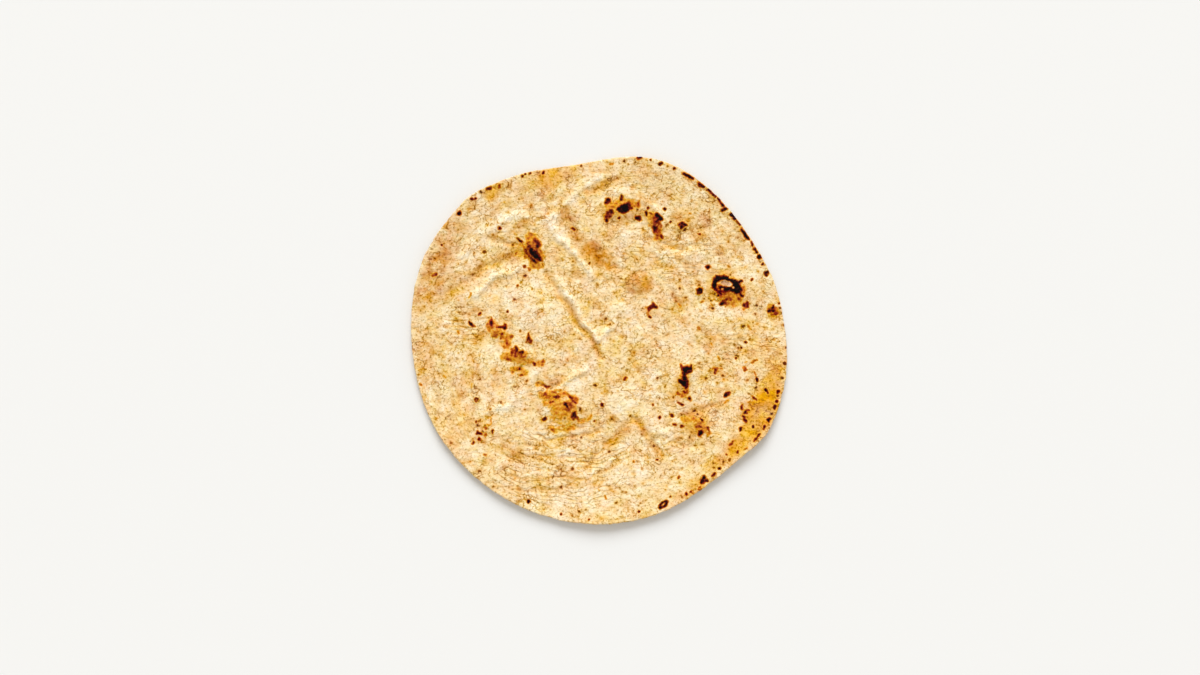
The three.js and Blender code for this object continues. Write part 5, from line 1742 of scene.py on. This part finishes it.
def table_material():
    colours = bpy.context.scene.chapati_colours
    material = bpy.data.materials.new("pale_table")
    nodes = Nodes(material)
    shader = nodes.add("ShaderNodeBsdfPrincipled")
    shader.inputs["Base Color"].default_value = linear(colours.table)
    shader.inputs["Roughness"].default_value = 0.7
    nodes.finish(shader)
    return material


def make_table():
    """A wide flat table, level with the bread's lowest point."""
    low, high = -TABLE_HALF, TABLE_HALF
    corners = [(low, low, 0), (high, low, 0), (high, high, 0), (low, high, 0)]
    mesh = bpy.data.meshes.new("table")
    mesh.from_pydata(corners, [], [(0, 1, 2, 3)])
    mesh.materials.append(table_material())
    table = bpy.data.objects.new("table", mesh)
    table.location.z = CAD_LOW.z
    bpy.context.scene.collection.objects.link(table)
    return table


def add_sky(settings):
    """Even light from all round."""
    world = bpy.data.worlds.new("even_sky")
    world.use_nodes = True
    background = world.node_tree.nodes["Background"]
    background.inputs["Color"].default_value = SKY_COLOUR
    background.inputs["Strength"].default_value = settings.sky
    bpy.context.scene.world = world


def add_window(settings):
    """Soft, even light from the far side of the table."""
    light = bpy.data.lights.new("window_light", "SUN")
    light.energy = settings.window_power
    light.color = WINDOW_COLOUR
    light.angle = settings.window_width
    lamp = bpy.data.objects.new("window_light", light)
    aim = Vector((0, -math.cos(settings.window_height), -math.sin(settings.window_height)))
    lamp.rotation_euler = aim.to_track_quat("-Z", "Y").to_euler()
    bpy.context.scene.collection.objects.link(lamp)


def add_camera(settings):
    """Straight above the bread, its middle a little below the middle of the picture."""
    data = bpy.data.cameras.new("camera")
    data.lens = LENS
    data.sensor_width = SENSOR_WIDTH
    camera = bpy.data.objects.new("camera", data)
    camera.location = (settings.aim_x, settings.aim_y, settings.camera_height)
    camera.rotation_euler = (0, 0, 0)
    bpy.context.scene.collection.objects.link(camera)
    bpy.context.scene.camera = camera


# ------------------------------------------------------------------ settings


def number(name, description, value, **how_shown):
    return bpy.props.FloatProperty(name=name, description=description, default=value, **how_shown)


def length(name, description, millimetres):
    return number(name, description, millimetres * MM, unit="LENGTH", precision=4)


def turned(name, description, degrees):
    return number(name, description, math.radians(degrees), subtype="ANGLE")


def colour(name, description, red, green, blue):
    return bpy.props.FloatVectorProperty(
        name=name,
        description=description,
        default=(red / 255, green / 255, blue / 255),
        subtype="COLOR_GAMMA",
        min=0,
        max=1,
    )


class ChapatiShape(bpy.types.PropertyGroup):
    """Sizes of the bread."""

    mean_radius: length("Radius", "Mean radius of the bread", 111)
    dough_thickness: length("Dough", "Thickness of the dough in the middle", 1.9)
    rim_thickness: length("Rim", "Thickness of the dough at the rim", 1.2)
    rim_round: length("Rim round", "How far the rounded rim stands out", 0.9)
    flat_radius: length("Flat middle", "The underside lies flat inside this radius", 60)
    rim_lift: length("Rim lift", "Mean height of the rim above the table", 2.3)
    pressed_start: number("Pressed from", "Share of the radius where the rim begins to thin", 0.6)
    fold_share: number("Folds", "How strongly the pleats and creases show", 1.3)
    fine_share: number("Fine relief", "How strongly the small lumps and puckers show", 1.0)


class ChapatiColours(bpy.types.PropertyGroup):
    """Colours of the dough from pale to burnt, and of the table."""

    floury: colour("Floury", "Palest dough, dusted with flour", 255, 246, 224)
    pale: colour("Pale", "Lightly baked dough", 254, 232, 194)
    baked: colour("Baked", "Evenly baked dough", 244, 211, 156)
    golden: colour("Golden", "Golden dough", 226, 180, 110)
    deep_golden: colour("Deep golden", "Golden dough in the creases", 207, 153, 74)
    olive: colour("Olive", "Darkest plain dough", 170, 116, 40)
    bran: colour("Bran", "Flecks of bran", 146, 80, 6)
    dark_bran: colour("Dark bran", "Middles of the darkest flecks", 96, 40, 0)
    amber_light: colour("Light amber", "Pale parts of the rim's golden bands", 250, 208, 104)
    amber: colour("Amber", "The rim's even golden bands", 239, 174, 38)
    amber_deep: colour("Deep amber", "Deep parts of the rim's golden bands", 202, 126, 14)
    tan_light: colour("Light tan", "Pale parts of the smooth tan patches", 242, 192, 116)
    tan: colour("Tan", "Smooth tan patches", 224, 158, 70)
    tan_deep: colour("Deep tan", "Deep parts of the smooth tan patches", 184, 112, 30)
    # The bare skin's colours also paint the two highlights by the burst blister.
    inner_light: colour("Light skin", "Pale parts of the bare skin", 210, 170, 136)
    inner: colour("Bare skin", "Bare skin inside the burst blister", 196, 142, 104)
    inner_deep: colour("Deep skin", "Deep parts of the bare skin", 134, 88, 62)
    gold: colour("Gold", "Dough just beginning to brown", 238, 188, 78)
    orange: colour("Orange", "Golden orange dough", 230, 156, 38)
    toasted: colour("Toasted", "Toasted orange brown", 202, 116, 15)
    browned: colour("Browned", "Well browned skin", 166, 72, 8)
    red_brown: colour("Red brown", "Skin about to scorch", 134, 34, 4)
    dark_red: colour("Dark red", "Lightly scorched skin", 96, 10, 2)
    scorched: colour("Scorched", "Scorched skin", 52, 4, 2)
    charred: colour("Charred", "Black char", 12, 3, 3)
    table: colour("Table", "The table's surface", 238, 239, 241)


class ChapatiStage(bpy.types.PropertyGroup):
    """The camera and the lights."""

    camera_height: length("Camera height", "Height of the camera in the scene", 1003)
    aim_x: length("Aim X", "Where the camera stands over the table", 0.5)
    aim_y: length("Aim Y", "Where the camera stands over the table", 1.8)
    window_power: number("Window", "Strength of the soft light from the far side", 2.5)
    window_width: turned("Window width", "How wide the soft light is", 35)
    window_height: turned("Window height", "Angle of the soft light over the table", 36)
    sky: number("Sky", "Strength of the even light from all round", 0.63)


# ------------------------------------------------------------------ operators and panel


class CHAPATI_OT_bread(bpy.types.Operator):
    """Make the bread, with its relief and its baked and scorched colours"""

    bl_idname = "chapati.bread"
    bl_label = "Bread"

    def execute(self, context):
        bread = make_bread()
        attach(bread, BODY)
        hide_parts(NODE)
        return {"FINISHED"}


class CHAPATI_OT_stage(bpy.types.Operator):
    """Make the pale table, the soft lights and the camera"""

    bl_idname = "chapati.stage"
    bl_label = "Table, lights and camera"

    def execute(self, context):
        settings = context.scene.chapati_stage
        table = make_table()
        add_window(settings)
        add_sky(settings)
        context.scene.view_settings.view_transform = "Standard"
        add_camera(settings)
        return {"FINISHED"}


class CHAPATI_PT_panel(bpy.types.Panel):
    """Lists what can be made, with its sizes and colours"""

    bl_idname = "CHAPATI_PT_panel"
    bl_label = "Chapati"
    bl_space_type = "VIEW_3D"
    bl_region_type = "UI"
    bl_category = "Chapati"

    def draw(self, context):
        layout = self.layout
        layout.operator(CHAPATI_OT_bread.bl_idname)
        layout.operator(CHAPATI_OT_stage.bl_idname)
        scene = context.scene
        for group in (scene.chapati_shape, scene.chapati_colours, scene.chapati_stage):
            box = layout.box()
            for name in group.bl_rna.properties.keys():
                if name not in {"rna_type", "name"}:
                    box.prop(group, name)


CLASSES = (
    ChapatiShape,
    ChapatiColours,
    ChapatiStage,
    CHAPATI_OT_bread,
    CHAPATI_OT_stage,
    CHAPATI_PT_panel,
)


def register():
    for cls in CLASSES:
        bpy.utils.register_class(cls)
    bpy.types.Scene.chapati_shape = bpy.props.PointerProperty(type=ChapatiShape)
    bpy.types.Scene.chapati_colours = bpy.props.PointerProperty(type=ChapatiColours)
    bpy.types.Scene.chapati_stage = bpy.props.PointerProperty(type=ChapatiStage)


def unregister():
    del bpy.types.Scene.chapati_stage
    del bpy.types.Scene.chapati_colours
    del bpy.types.Scene.chapati_shape
    for cls in reversed(CLASSES):
        bpy.utils.unregister_class(cls)


def main():
    register()
    bpy.ops.chapati.bread()
    bpy.ops.chapati.stage()


if __name__ == "__main__":
    main()
